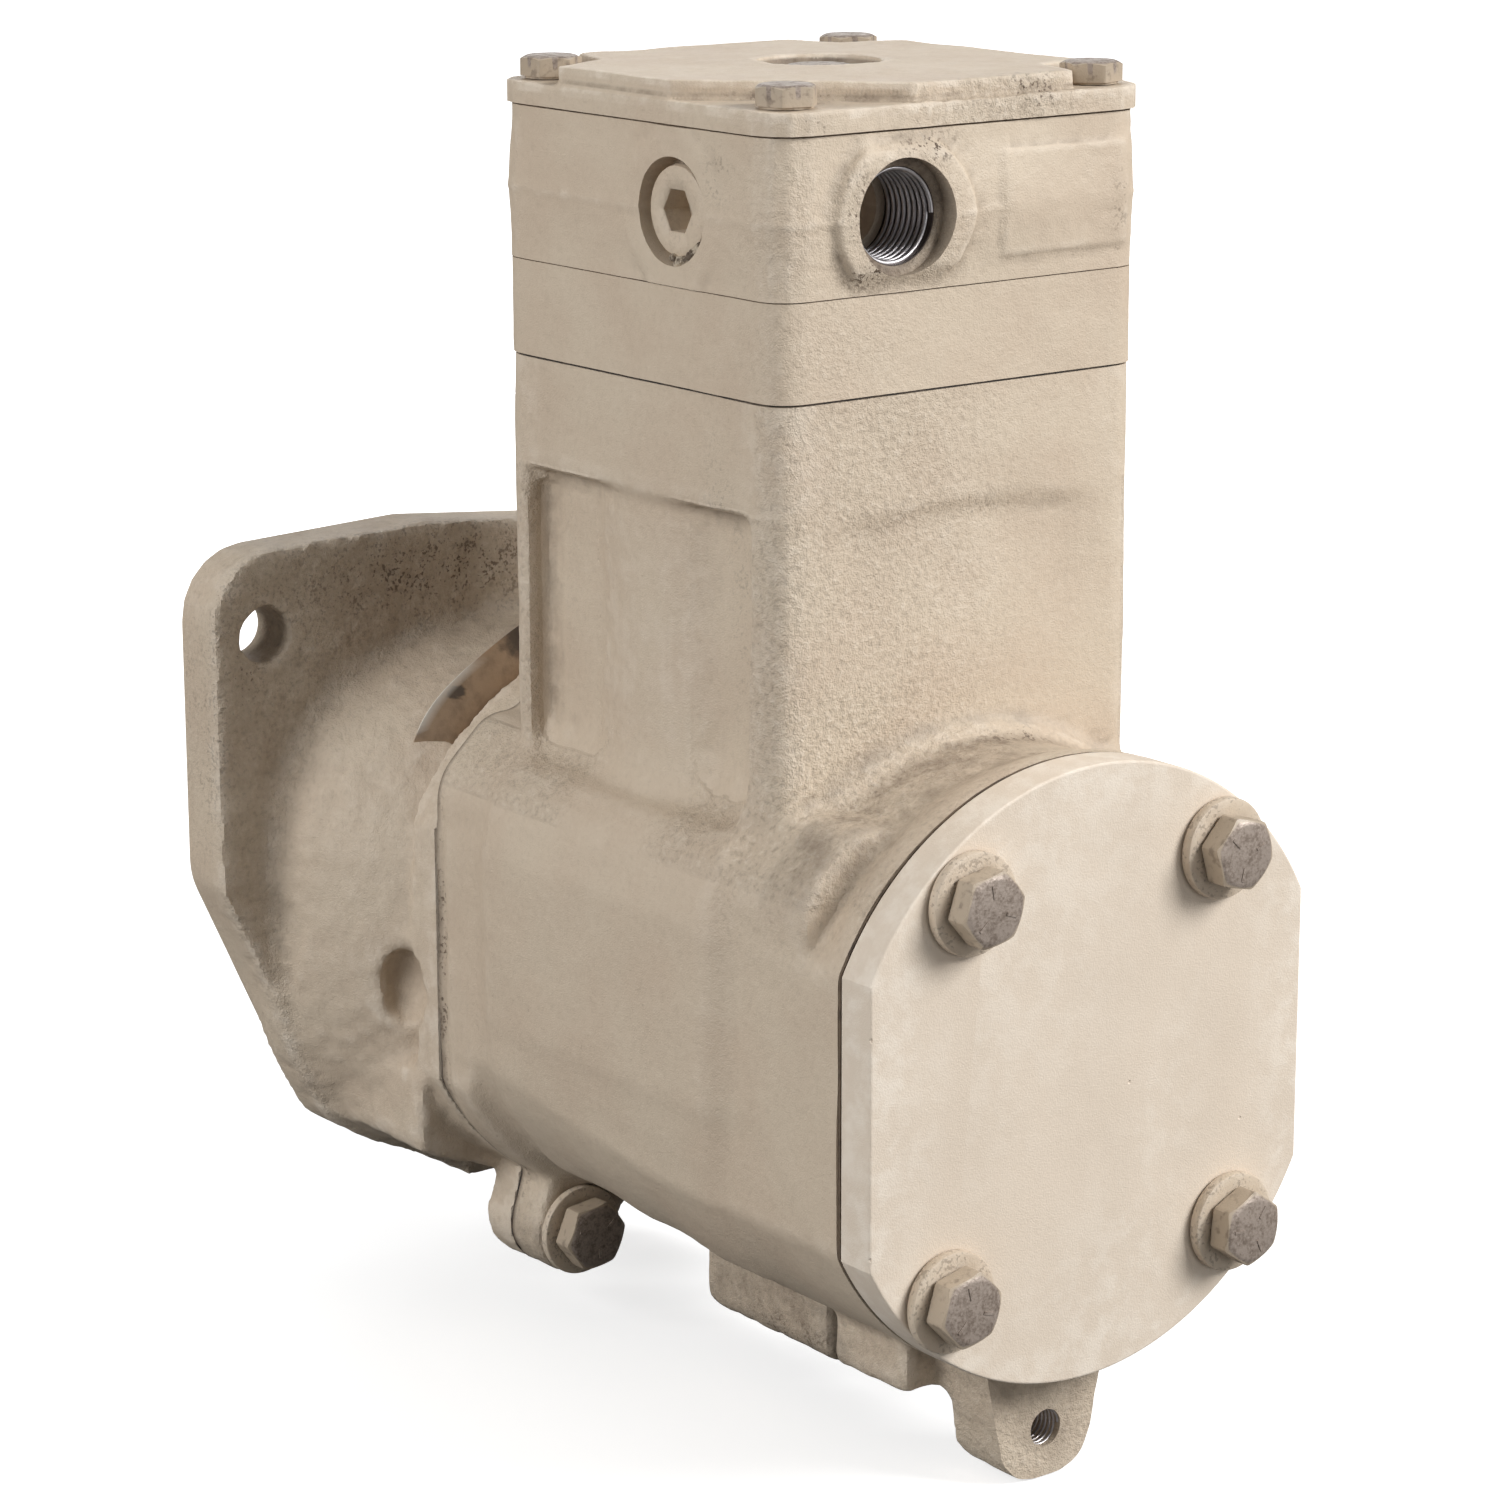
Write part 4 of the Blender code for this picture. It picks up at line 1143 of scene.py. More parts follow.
def thread_tree() -> Tree:
    """Makes a thread's ridge: a round profile that winds along a spiral up +Z.

    Returns:
        The tree, with the inputs Radius, Pitch, Turns and Taper.
    """
    tree = Tree("thread")
    radius, pitch = tree.input("Radius", "Float"), tree.input("Pitch", "Float")
    turns, taper = tree.input("Turns", "Float"), tree.input("Taper", "Float")
    end = tree.math("ADD", radius, tree.math("MULTIPLY", taper, turns))
    spiral = tree.node("GeometryNodeCurveSpiral", Resolution=56, Rotations=turns, Start_Radius=radius,
                       End_Radius=end, Height=tree.math("MULTIPLY", pitch, turns))
    upright = tree.node("GeometryNodeSetCurveNormal", Curve=spiral.outputs[0])
    upright.mode = "Z_UP"
    profile_share = 0.34
    profile = tree.node("GeometryNodeCurvePrimitiveCircle", Resolution=8,
                        Radius=tree.math("MULTIPLY", pitch, profile_share))
    swept = tree.node("GeometryNodeCurveToMesh", Curve=upright.outputs[0], Profile_Curve=profile.outputs[0],
                      Fill_Caps=True)
    smooth = tree.node("GeometryNodeSetShadeSmooth", Geometry=swept.outputs[0])
    tree.close(smooth.outputs[0])
    return tree


def fastener_tree() -> Tree:
    """Puts a copy of a fastener, turned about its own axis by chance, on each point of a mesh.

    Returns:
        The tree, with the inputs Fastener, Seed and Tilt.
    """
    tree = Tree("fasteners")
    template, seed = tree.input("Fastener", "Object"), tree.input("Seed", "Int")
    tilt = tree.input("Tilt", "Vector")
    info = tree.node("GeometryNodeObjectInfo", Object=template)
    chance = tree.node("FunctionNodeRandomValue", Seed=seed)
    chance.data_type = "FLOAT"
    turn_by = tree.math("MULTIPLY", chance.outputs[1], math.tau)
    spin = tree.node("ShaderNodeCombineXYZ", Z=turn_by)
    put = tree.node("GeometryNodeInstanceOnPoints", Points=tree.start.outputs["Geometry"],
                    Instance=info.outputs["Geometry"], Rotation=tilt)
    own = tree.node("GeometryNodeRotateInstances", Instances=put.outputs[0], Rotation=spin.outputs[0])
    own.inputs["Local Space"].default_value = True
    tree.close(own.outputs[0])
    return tree


def crumb_tree() -> Tree:
    """Scatters lumps of many sizes over a surface.

    Returns:
        The tree, with the inputs Density, Size and Seed.
    """
    tree = Tree("crumbs")
    density, size = tree.input("Density", "Float"), tree.input("Size", "Float")
    seed = tree.input("Seed", "Int")
    points = tree.node("GeometryNodeDistributePointsOnFaces", Mesh=tree.start.outputs["Geometry"],
                       Density=density, Seed=seed)
    lump = tree.node("GeometryNodeMeshIcoSphere", Radius=size, Subdivisions=2)
    scale = tree.node("FunctionNodeRandomValue", Seed=seed)
    scale.data_type = "FLOAT_VECTOR"
    scale.inputs[0].default_value, scale.inputs[1].default_value = (0.4, 0.4, 0.4), (1.5, 1.3, 1.4)
    turn_by = tree.node("FunctionNodeRandomValue")
    turn_by.data_type = "FLOAT_VECTOR"
    turn_by.inputs[1].default_value = (math.tau, math.tau, math.tau)
    put = tree.node("GeometryNodeInstanceOnPoints", Points=points.outputs[0], Instance=lump.outputs[0],
                    Rotation=turn_by.outputs[0], Scale=scale.outputs[0])
    tree.close(put.outputs[0])
    return tree


def points_mesh(places: Sequence[Sequence[float]]) -> bpy.types.Mesh:
    """Makes a mesh that is only points.

    Args:
        places: where the points are.

    Returns:
        The mesh.
    """
    mesh = bpy.data.meshes.new("places")
    mesh.from_pydata([tuple(p) for p in places], [], [])
    return mesh


# ---- Sub-assemblies ----


@dataclass
class HexBolt:
    """A hexagon-head bolt: its head is turned down to a chamfer, so each flat ends in an arc."""

    across: float
    height: float
    shank: float
    length: float
    marks: int = 3
    relief: float = 0.0002
    sides: int = 96
    collar: float = 0.0006
    chamfer_degrees: float = 28.0
    top_share: float = 0.462
    flange_share: float = 0.475
    corner_share: float = 0.5655
    drop: float = 0.00012
    tip: float = 0.001

    def perimeter(self, angle: float) -> float:
        """Gives the head's half width towards an angle, with slightly rounded corners."""
        within = (angle + math.pi / 6) % (math.pi / 3) - math.pi / 6
        return min(self.across / 2 / math.cos(within), self.across * self.corner_share)

    def mesh(self) -> bpy.types.Mesh:
        """Makes the bolt along +Z, seated at the origin. Its point value bare is 1 on the top face.

        Returns:
            The closed mesh.
        """
        bm = bmesh.new()
        inner, slope = self.across * self.top_share, math.tan(math.radians(self.chamfer_degrees))
        angles = [math.tau * i / self.sides for i in range(self.sides)]
        wide = [self.perimeter(a) for a in angles]
        flange = self.across * self.flange_share
        rings = [
            [(inner * 0.93, self.height)] * self.sides,
            [(inner, self.height - self.drop)] * self.sides,
            [(w, self.height - self.drop - max(0.0, w - inner) * slope) for w in wide],
            [(w, self.collar) for w in wide],
            [(flange, self.collar - 0.0001)] * self.sides,
            [(flange, 0.0)] * self.sides,
            [(self.shank, 0.0)] * self.sides,
            [(self.shank, self.tip - self.length)] * self.sides,
            [(self.shank - self.tip, -self.length)] * self.sides,
        ]
        made = [[bm.verts.new((r * math.cos(a), r * math.sin(a), z)) for (r, z), a in zip(ring, angles)]
                for ring in rings]
        for upper, lower in zip(made, made[1:]):
            for i in range(self.sides):
                j = (i + 1) % self.sides
                bm.faces.new((upper[i], lower[i], lower[j], upper[j]))
        bm.faces.new(made[0])
        bm.faces.new(list(reversed(made[-1])))
        outward(bm)
        self.stamp(bm)
        mesh = mesh_of(bm, "bolt")
        bare = mesh.attributes.new("bare", "FLOAT", "POINT")
        top = self.height - 0.0004
        bare.data.foreach_set("value", [1.0 if v.co.z > top else 0.0 for v in mesh.vertices])
        mesh.shade_smooth()
        mesh.set_sharp_from_angle(angle=math.radians(24))
        return mesh

    def stamp(self, bm: bmesh.types.BMesh) -> None:
        """Raises plain radial ticks on the head's top.

        Args:
            bm: the head that they are added to.
        """
        for number in range(self.marks):
            angle = math.tau * number / self.marks
            tick = Matrix.Rotation(angle, 4, "Z") @ Matrix.Translation((self.across * 0.29, 0, self.height))
            size = Matrix.Diagonal((self.across * 0.2, self.across * 0.045, 2 * self.relief, 1))
            bmesh.ops.create_cube(bm, size=1.0, matrix=tick @ size)

    def template(self) -> bpy.types.Object:
        """Puts the bolt in the scene for a tree to copy. It is removed once the copies are made.

        Returns:
            The object to copy.
        """
        obj = bpy.data.objects.new("bolt_template", self.mesh())
        bpy.context.scene.collection.objects.link(obj)
        return obj


@dataclass
class Fasteners:
    """All the bolts and washers that are in sight."""

    finishes: Finishes
    head: HexBolt = field(default_factory=lambda: HexBolt(0.013, 0.0053, 0.004, 0.085, marks=0))
    cover: HexBolt = field(default_factory=lambda: HexBolt(0.016, 0.0066, 0.0048, 0.027))
    cover_washer: tuple[float, float] = (0.012, 0.0028)
    housing_washer: tuple[float, float] = (0.0116, 0.0024)
    washer_hole: float = 0.0053
    washer_rim: float = 0.0006
    washer_dish: float = 0.00015

    def seats(self, prefix: str, facing: Facing) -> list[Point]:
        """Finds where the four bolts or washers of a kind sit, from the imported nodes.

        Args:
            prefix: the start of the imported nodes' names.
            facing: the way they point.

        Returns:
            The middle of the outer face of each.
        """
        places = []
        along = direction(facing)
        axis = max(range(3), key=lambda i: abs(along[i]))
        for number in range(1, 5):
            low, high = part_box(f"{prefix}_{number}")
            middle = (low + high) / 2
            middle[axis] = high[axis] if along[axis] > 0 else low[axis]
            places.append(tuple(middle))
        return places

    def lay(self, tree: Tree, kind: str, bolt: HexBolt, facing: Facing, seed: int, slot: str,
            material: bpy.types.Material) -> bpy.types.Object:
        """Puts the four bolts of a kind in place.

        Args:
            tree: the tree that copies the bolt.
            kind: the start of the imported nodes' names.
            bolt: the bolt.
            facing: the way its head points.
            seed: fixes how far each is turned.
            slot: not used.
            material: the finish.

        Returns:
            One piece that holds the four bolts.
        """
        template = bolt.template()
        drop = direction(facing) * (bolt.height + bolt.relief)
        places = [tuple(Vector(p) - drop) for p in self.seats(kind, facing)]
        tilt = facing.at((0, 0, 0)).to_euler()
        piece = tree.grow(f"{kind}s", points_mesh(places), Matrix.Identity(4), Fastener=template, Seed=seed,
                          Tilt=tuple(tilt), Material=material)
        bpy.data.objects.remove(template)
        return settle(piece, "root", slot, *(f"{kind}_{n}" for n in range(1, 5)))

    def washers(self, kind: str, radius: float, thick: float) -> bpy.types.Object:
        """Makes the four washers of a kind, with rounded rims and a slight dish.

        Args:
            kind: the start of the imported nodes' names.
            radius: the outer radius.
            thick: the thickness.

        Returns:
            One piece that holds the four washers.
        """
        hole, rim, dished = self.washer_hole, self.washer_rim, thick - self.washer_dish
        profile = [(hole, 0), (radius - rim, 0), (radius - rim * 0.3, rim * 0.3), (radius, rim),
                   (radius, thick - rim), (radius - rim * 0.3, thick - rim * 0.3), (radius - rim, thick),
                   (radius * 0.8, dished), (hole, dished)]
        meshes = []
        for place in self.seats(kind, Facing.FRONT):
            start = (place[0], place[1] + thick, place[2])
            meshes.append(turned(kind, profile, Facing.FRONT.at(start), 72))
        piece = object_of(f"{kind}s", joined(kind, meshes), self.finishes.smooth_paint)
        points = points_of(piece)
        mark(piece, "wear_and_highlight", np.full(len(points), 0.5))
        mark(piece, "grime_and_shade", np.full(len(points), 0.35))
        return settle(piece, "root", "tan_paint", *(f"{kind}_{n}" for n in range(1, 5)))

    def build(self) -> None:
        """Makes every bolt and washer in sight."""
        tree = fastener_tree()
        self.lay(tree, "head_bolt", self.head, Facing.UP, 4, "worn_bolt", self.finishes.bolt)
        self.lay(tree, "cover_bolt", self.cover, Facing.FRONT, 11, "worn_bolt", self.finishes.bolt)
        self.lay(tree, "housing_bolt", self.cover, Facing.FRONT, 7, "tan_paint", self.finishes.bolt)
        self.washers("cover_washer", *self.cover_washer)
        self.washers("housing_washer", *self.housing_washer)


@dataclass
class CylinderHead:
    """The head: its cover, the head itself, the valve plate and what is fitted to them."""

    finishes: Finishes
    reach: float = 0.00045
    port: Point = (-0.0204, -0.1930, 0.1936)
    rear_port: Point = (0.0204, -0.0790, 0.1936)
    plug: Point = (-0.0550, -0.1517, 0.1936)
    bolt_spread: float = 0.045
    bolt_hole: float = 0.0046
    bolt_seat: float = 0.2186
    cap_seat: float = 0.2172
    cap_hole: float = 0.0084
    port_thread: float = 0.0112
    thread_pitch: float = 0.00181
    counterbore: float = 0.0134
    port_boss: float = 0.0170
    plug_boss: float = 0.0152
    plug_radius: float = 0.0105
    plug_recess: float = 0.0124
    socket: float = 0.0095
    cover_voxel: float = 0.00062
    head_voxel: float = 0.0007
    plate_voxel: float = 0.0011

    def ports(self) -> tuple[tuple[Point, Facing, float], ...]:
        """Gives the place, the way out and the boss radius of each side opening."""
        return ((self.port, Facing.FRONT, self.port_boss), (self.rear_port, Facing.BACK, self.port_boss),
                (self.plug, Facing.LEFT, self.plug_boss))

    def bolt_bores(self, top: float, depth: float) -> list[Bore]:
        """Gives the four bolt holes from a height down.

        Args:
            top: the height of their mouths.
            depth: how deep they go.

        Returns:
            The four holes.
        """
        spread = self.bolt_spread
        return [Bore((x, CYLINDER_Y + y, top), Facing.UP, self.bolt_hole, depth, 32)
                for x in (-spread, spread) for y in (-spread, spread)]

    def slab(self, low: float, high: float) -> tuple[bpy.types.Mesh, bpy.types.Mesh]:
        """Gives the two blocks that trim a casting to its joint faces.

        Args:
            low: the lower joint face.
            high: the upper joint face.

        Returns:
            The block below and the block above.
        """
        return (block("below", (-0.09, -0.23, low - 0.03), (0.09, -0.05, low)),
                block("above", (-0.09, -0.23, high), (0.09, -0.05, high + 0.03)))

    def build_cover(self) -> None:
        """Makes the head cover: a plate with a crowned pad that is cut back round the four bolts."""
        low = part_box("head_cover")[0]
        cast = CastField("head_cover", self.cover_voxel)
        cap_bore = Bore((0, CYLINDER_Y, self.cap_seat), Facing.UP, self.cap_hole, 0.02)
        bolt_bores = self.bolt_bores(self.bolt_seat, 0.02)
        cast.add(cast.rod(cap_bore, 0.001))
        for bore in bolt_bores:
            cast.add(cast.rod(bore, 0.0012))
        cast.extend(Axis.Z, -1, 0.2160)
        across = np.sqrt(cast.x ** 2 + (cast.y - CYLINDER_Y) ** 2)
        crown = 0.0007 * (1 - smoothstep(across, 0.0, 0.05)) * (cast.z > 0.2195)
        cast.distance -= crown
        front = (smoothstep(-cast.y, 0.184, 0.189) * smoothstep(cast.x, -0.03, -0.01)
                 * smoothstep(-cast.x, -0.04, -0.025))
        everywhere = np.ones_like(cast.distance)
        cast.roughen(0.00028, 0.0019, seed=5, where=np.clip(front + 0.12, 0, 1) * everywhere)
        cast.roughen(0.00025, 0.012, seed=6)
        rim = smoothstep(0.0185 - across, 0, 0.003) * smoothstep(across, 0.0125, 0.0145)
        cast.roughen(0.00020, 0.0022, seed=8, where=rim * everywhere)
        cover = object_of("cast_head_cover", cast.mesh(), self.finishes.paint)
        cut(cover, [block("below", (-0.09, -0.23, 0.18), (0.09, -0.05, low.z - self.reach))])
        cut(cover, [bore.tool() for bore in bolt_bores + [cap_bore]])
        shade(cover, CAST_SHARP)
        points = points_of(cover)
        # Convex edges are lightened as rubbed paint with a painted highlight, and concave corners darkened as
        # painted shade.
        wear_and_highlight, painted_shade = cast.edges(points)
        mark(cover, "wear_and_highlight", wear_and_highlight)
        mark(cover, "painted_shade", painted_shade)
        mark(cover, "rough", 0.25 + spots_at([
            Spot((0.010, -0.190, 0.218), (0.030, 0.006, 0.012), 0.9),
            Spot((-0.030, -0.166, 0.219), (0.022, 0.022, 0.003), 0.5)], points))
        mark(cover, "grime_and_shade", spots_at([
            Spot((0.019, -0.190, 0.219), (0.013, 0.005, 0.006)),
            Spot((-0.044, -0.188, 0.216), (0.006, 0.008, 0.004)),
            Spot((-0.030, -0.166, 0.2195), (0.022, 0.022, 0.0022), 0.75),
            Spot((0.0, CYLINDER_Y - 0.006, 0.2235), (0.020, 0.012, 0.002), 0.45),
            Spot((0.04, -0.183, 0.217), (0.02, 0.012, 0.006), 0.3)], points))
        reach = np.hypot(points[:, 0], points[:, 1] - CYLINDER_Y)
        mark(cover, "darkening", 0.8 * (reach < 0.0156) * (points[:, 2] < 0.2224))
        settle(cover, "root", "tan_paint", "head_cover")

    def build_head(self) -> None:
        """Makes the head: a swelling block with bosses round its ports and a parting line."""
        low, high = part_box("cylinder_head")
        middle = self.port[2]
        cast = CastField("cylinder_head", self.head_voxel)
        cast.add(cast.box((-0.050, -0.186, 0.170), (0.050, -0.086, 0.220)))
        for place, facing, _ in self.ports():
            cast.add(cast.rod(Bore(place, facing, 0.0150, 0.03)))
        cast.extend(Axis.Z, -1, low.z + 0.003)
        cast.extend(Axis.Z, 1, high.z - 0.003)
        for place, facing, radius in self.ports():
            cast.add(cast.rod(Bore(place, facing, radius, 0.01)), 0.005)
        ends = 0.0024 * (1 - smoothstep(cast.z, low.z + 0.0005, low.z + 0.0060)
                         * smoothstep(-cast.z, 0.0005 - high.z, 0.0050 - high.z))
        faces = ((-self.port[1], -cast.y), (self.rear_port[1], cast.y), (-self.plug[0], -cast.x))
        for reach, line in faces:
            cast.distance = np.maximum(cast.distance, line - reach + ends * (reach != -self.plug[0]))
        swell = (smoothstep(cast.x, -0.022, -0.008) * smoothstep(-cast.x, -0.044, -0.002)
                 * np.exp(-((cast.z - middle) / 0.012) ** 2) * smoothstep(-cast.y, 0.180, 0.188))
        cast.distance -= 0.0017 * swell
        cast.soften(1)
        pad = (smoothstep(cast.x, 0.008, 0.0105) * smoothstep(-cast.x, -0.0495, -0.048)
               * smoothstep(cast.z, 0.1815, 0.1828) * smoothstep(-cast.z, -0.2072, -0.206)
               * smoothstep(-cast.y, 0.186, 0.188))
        seam = np.exp(-((cast.z - middle) / 0.0007) ** 2)
        cast.distance -= 0.00055 * pad + 0.00022 * seam * (1 - pad)
        cast.roughen(0.00022, 0.009, seed=15)
        cast.roughen(0.00010, 0.0022, seed=16)
        head = object_of("cast_cylinder_head", cast.mesh(), self.finishes.paint)
        cut(head, self.slab(low.z - self.reach, high.z + self.reach))
        cap_bore = Bore((0, CYLINDER_Y, high.z), Facing.UP, self.cap_hole, 0.02)
        cut(head, [bore.tool() for bore in self.bolt_bores(high.z, 0.045)]
            + [self.port_tool(self.port, Facing.FRONT), self.port_tool(self.rear_port, Facing.BACK),
               self.plug_tool(), cap_bore.tool()])
        shade(head, CAST_SHARP)
        points = points_of(head)
        # Convex edges are lightened as rubbed paint with a painted highlight, and concave corners darkened as
        # painted shade.
        wear_and_highlight, painted_shade = cast.edges(points)
        mark(head, "wear_and_highlight", wear_and_highlight * 0.7)
        mark(head, "painted_shade", painted_shade)
        mark(head, "rough", 0.16 + spots_at([
            Spot((-0.020, -0.192, middle), (0.026, 0.010, 0.024), 0.8),
            Spot((-0.049, -0.186, middle), (0.012, 0.014, 0.03), 0.55)], points))
        mark(head, "grime_and_shade", spots_at([
            Spot((-0.034, -0.192, 0.197), (0.005, 0.006, 0.012)),
            Spot((-0.030, -0.192, 0.182), (0.009, 0.006, 0.006)),
            Spot((-0.013, -0.192, 0.2085), (0.012, 0.006, 0.005)),
            Spot((-0.052, -0.169, 0.203), (0.006, 0.007, 0.008), 0.6),
            Spot((0.046, -0.190, 0.192), (0.004, 0.006, 0.012), 0.5),
            Spot((0.040, -0.190, 0.1815), (0.014, 0.006, 0.0016), 0.6)], points))
        mark(head, "darkening", self.port_floor(points))
        settle(head, "root", "tan_paint", "cylinder_head")

    def port_floor(self, points: np.ndarray) -> np.ndarray:
        """Tells which points lie on the darkened ring at the bottom of a port's counterbore.

        Args:
            points: the places.

        Returns:
            1 where a place is darkened, and 0 elsewhere.
        """
        darkening = np.zeros(len(points))
        for place, way in ((self.port, 1), (self.rear_port, -1)):
            deep = (points[:, 1] - place[1]) * way
            away = np.hypot(points[:, 0] - place[0], points[:, 2] - place[2])
            darkening += (deep > 0.0026) * (deep < 0.006) * (away < self.counterbore + 0.0004)
        return darkening

    def port_tool(self, place: Point, facing: Facing) -> bpy.types.Mesh:
        """Makes the tool that cuts a port: a counterbore with a step, and the bore for its thread.

        Args:
            place: the middle of its mouth.
            facing: the way out of it.

        Returns:
            The closed mesh.
        """
        wide, bore = self.counterbore, self.port_thread
        profile = ((0, 0.01), (wide, 0.01), (wide, -0.0030), (bore + 0.0005, -0.0032), (bore, -0.0036),
                   (bore, -0.021), (bore - 0.0022, -0.0215), (bore - 0.0022, -0.034), (0, -0.036))
        return turned("port_tool", profile, facing.at(place), 72)

    def plug_tool(self) -> bpy.types.Mesh:
        """Makes the tool that cuts the recess round the side plug.

        Returns:
            The closed mesh.
        """
        wide, bore = self.plug_recess, self.plug_radius + 0.0003
        profile = ((0, 0.01), (wide, 0.01), (wide, -0.0062), (bore, -0.0064), (bore, -0.020), (0, -0.022))
        return turned("plug_tool", profile, Facing.LEFT.at(self.plug), 72)

    def build_plate(self) -> None:
        """Makes the valve plate between head and column."""
        low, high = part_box("valve_plate")
        middle = (low.z + high.z) / 2
        cast = CastField("valve_plate", self.plate_voxel)
        cast.add(cast.box((-0.050, -0.186, 0.15), (0.050, -0.086, 0.18)))
        cast.extend(Axis.Z, -1, middle)
        cast.extend(Axis.Z, 1, middle)
        cast.soften(1)
        cast.roughen(0.00018, 0.010, seed=25)
        cast.roughen(0.00007, 0.0024, seed=26)
        piece = object_of("cast_valve_plate", cast.mesh(), self.finishes.paint)
        cut(piece, self.slab(low.z - self.reach, high.z + self.reach))
        valve_bores = [Bore((0, CYLINDER_Y + y, high.z), Facing.UP, radius, 0.03)
                       for y, radius in ((0.0, 0.008), (0.026, 0.010))]
        cut(piece, [bore.tool() for bore in self.bolt_bores(high.z, 0.03) + valve_bores])
        shade(piece, CAST_SHARP)
        points = points_of(piece)
        side = Spot((-0.04, -0.188, 0.164), (0.03, 0.02, 0.02), 0.35)
        mark(piece, "rough", 0.2 + side.at(points))
        mark(piece, "wear_and_highlight", np.zeros(len(points)))
        settle(piece, "root", "tan_paint", "valve_plate")

    def build_plug(self) -> None:
        """Makes the side port's socket plug, and the dry sealant in the ring round it."""
        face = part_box("side_port_plug")[0].x
        place = Facing.LEFT.at((face, self.plug[1], self.plug[2]))
        radius, length = self.plug_radius, 0.0125
        profile = ((0, 0), (radius - 0.0010, 0), (radius - 0.0003, -0.0003), (radius, -0.0010),
                   (radius, -length), (0, -length))
        plug = object_of("socket_plug", turned("plug", profile, place, 72), self.finishes.smooth_paint)
        corner = self.socket / math.sqrt(3)
        dimple = ((0, 0.01), (corner + 0.0006, 0.0002), (corner, -0.0005), (corner, -0.0075), (0, -0.010))
        cut(plug, [turned("socket", dimple, place @ Matrix.Rotation(math.radians(30), 4, "Z"), 6)])
        for value in ("rough", "grime_and_shade"):
            mark(plug, value, np.full(len(plug.data.vertices), 0.1))
        settle(plug, "root", "tan_paint", "side_port_plug")
        inner, outer, top, floor = radius + 0.0002, self.plug_recess - 0.0002, -0.0009, -0.0022
        ring = turned("sealant_bed", ((inner, top), (outer, top), (outer, floor), (inner, floor)),
                      Facing.LEFT.at(self.plug), 48)
        bm = bmesh.new()
        bm.from_mesh(ring)
        clean = [v for v in bm.verts if v.co.z > self.plug[2] - 0.0062 or v.co.y > self.plug[1] + 0.0015]
        bmesh.ops.delete(bm, geom=clean, context="VERTS")
        crumbs = crumb_tree().grow("plug_sealant", mesh_of(bm, "bed"), Matrix.Identity(4),
                                   Density=1300000.0, Size=0.00085, Seed=3, Material=self.finishes.sealant)
        settle(crumbs, "root", "tan_paint")

    def build_threads(self) -> None:
        """Winds the threads in the two ports."""
        tree = thread_tree()
        thin, thick = self.port_thread - 0.0002, self.port_thread + 0.0002
        near, far = 0.0038, 0.021
        for name, place, inward in (("inlet_thread", self.port, Facing.BACK),
                                    ("rear_port_thread", self.rear_port, Facing.FRONT)):
            start = Vector(place) + direction(inward) * 0.0042
            # Painted shade: a dark sleeve behind the ridges darkens the thread's grooves.
            groove_shade_sleeve = turned("groove_shade_sleeve", ((thin, near), (thick, near), (thick, far), (thin, far)),
                           inward.at(place), 64)
            settle(object_of(f"{name}_wall", groove_shade_sleeve, self.finishes.thread_groove_shade), "root", "bare_steel")
            thread = tree.grow(name, points_mesh([(0, 0, 0)]), inward.at(start), Turns=8.6, Taper=-0.00005,
                               Radius=self.port_thread - 0.0004, Pitch=self.thread_pitch,
                               Material=self.finishes.thread)
            settle(thread, "root", "bare_steel")

    def build_cap(self) -> None:
        """Makes the hexagon cap in the cover's counterbore."""
        low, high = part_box("unloader_cap")
        cap = HexBolt(0.016, 0.0058, 0.008, 0.026, marks=0)
        mesh = cap.mesh()
        seat = Matrix.Translation((0, CYLINDER_Y, high.z - cap.height))
        mesh.transform(seat @ Matrix.Rotation(0.35, 4, "Z"))
        piece = object_of("hexagon_cap", mesh, self.finishes.bolt, sharp=24)
        cut(piece, [Bore((0, CYLINDER_Y, low.z), Facing.DOWN, 0.0058, 0.016).tool()])
        settle(piece, "root", "worn_bolt", "unloader_cap")

    def build(self) -> None:
        """Makes the whole head."""
        self.build_cover()
        self.build_head()
        self.build_plate()
        self.build_plug()
        self.build_threads()
        self.build_cap()
        dress(self.finishes.painted_gasket, "head_cover_gasket", "cylinder_head_gasket")
        dress(self.finishes.gasket, "valve_plate_gasket")


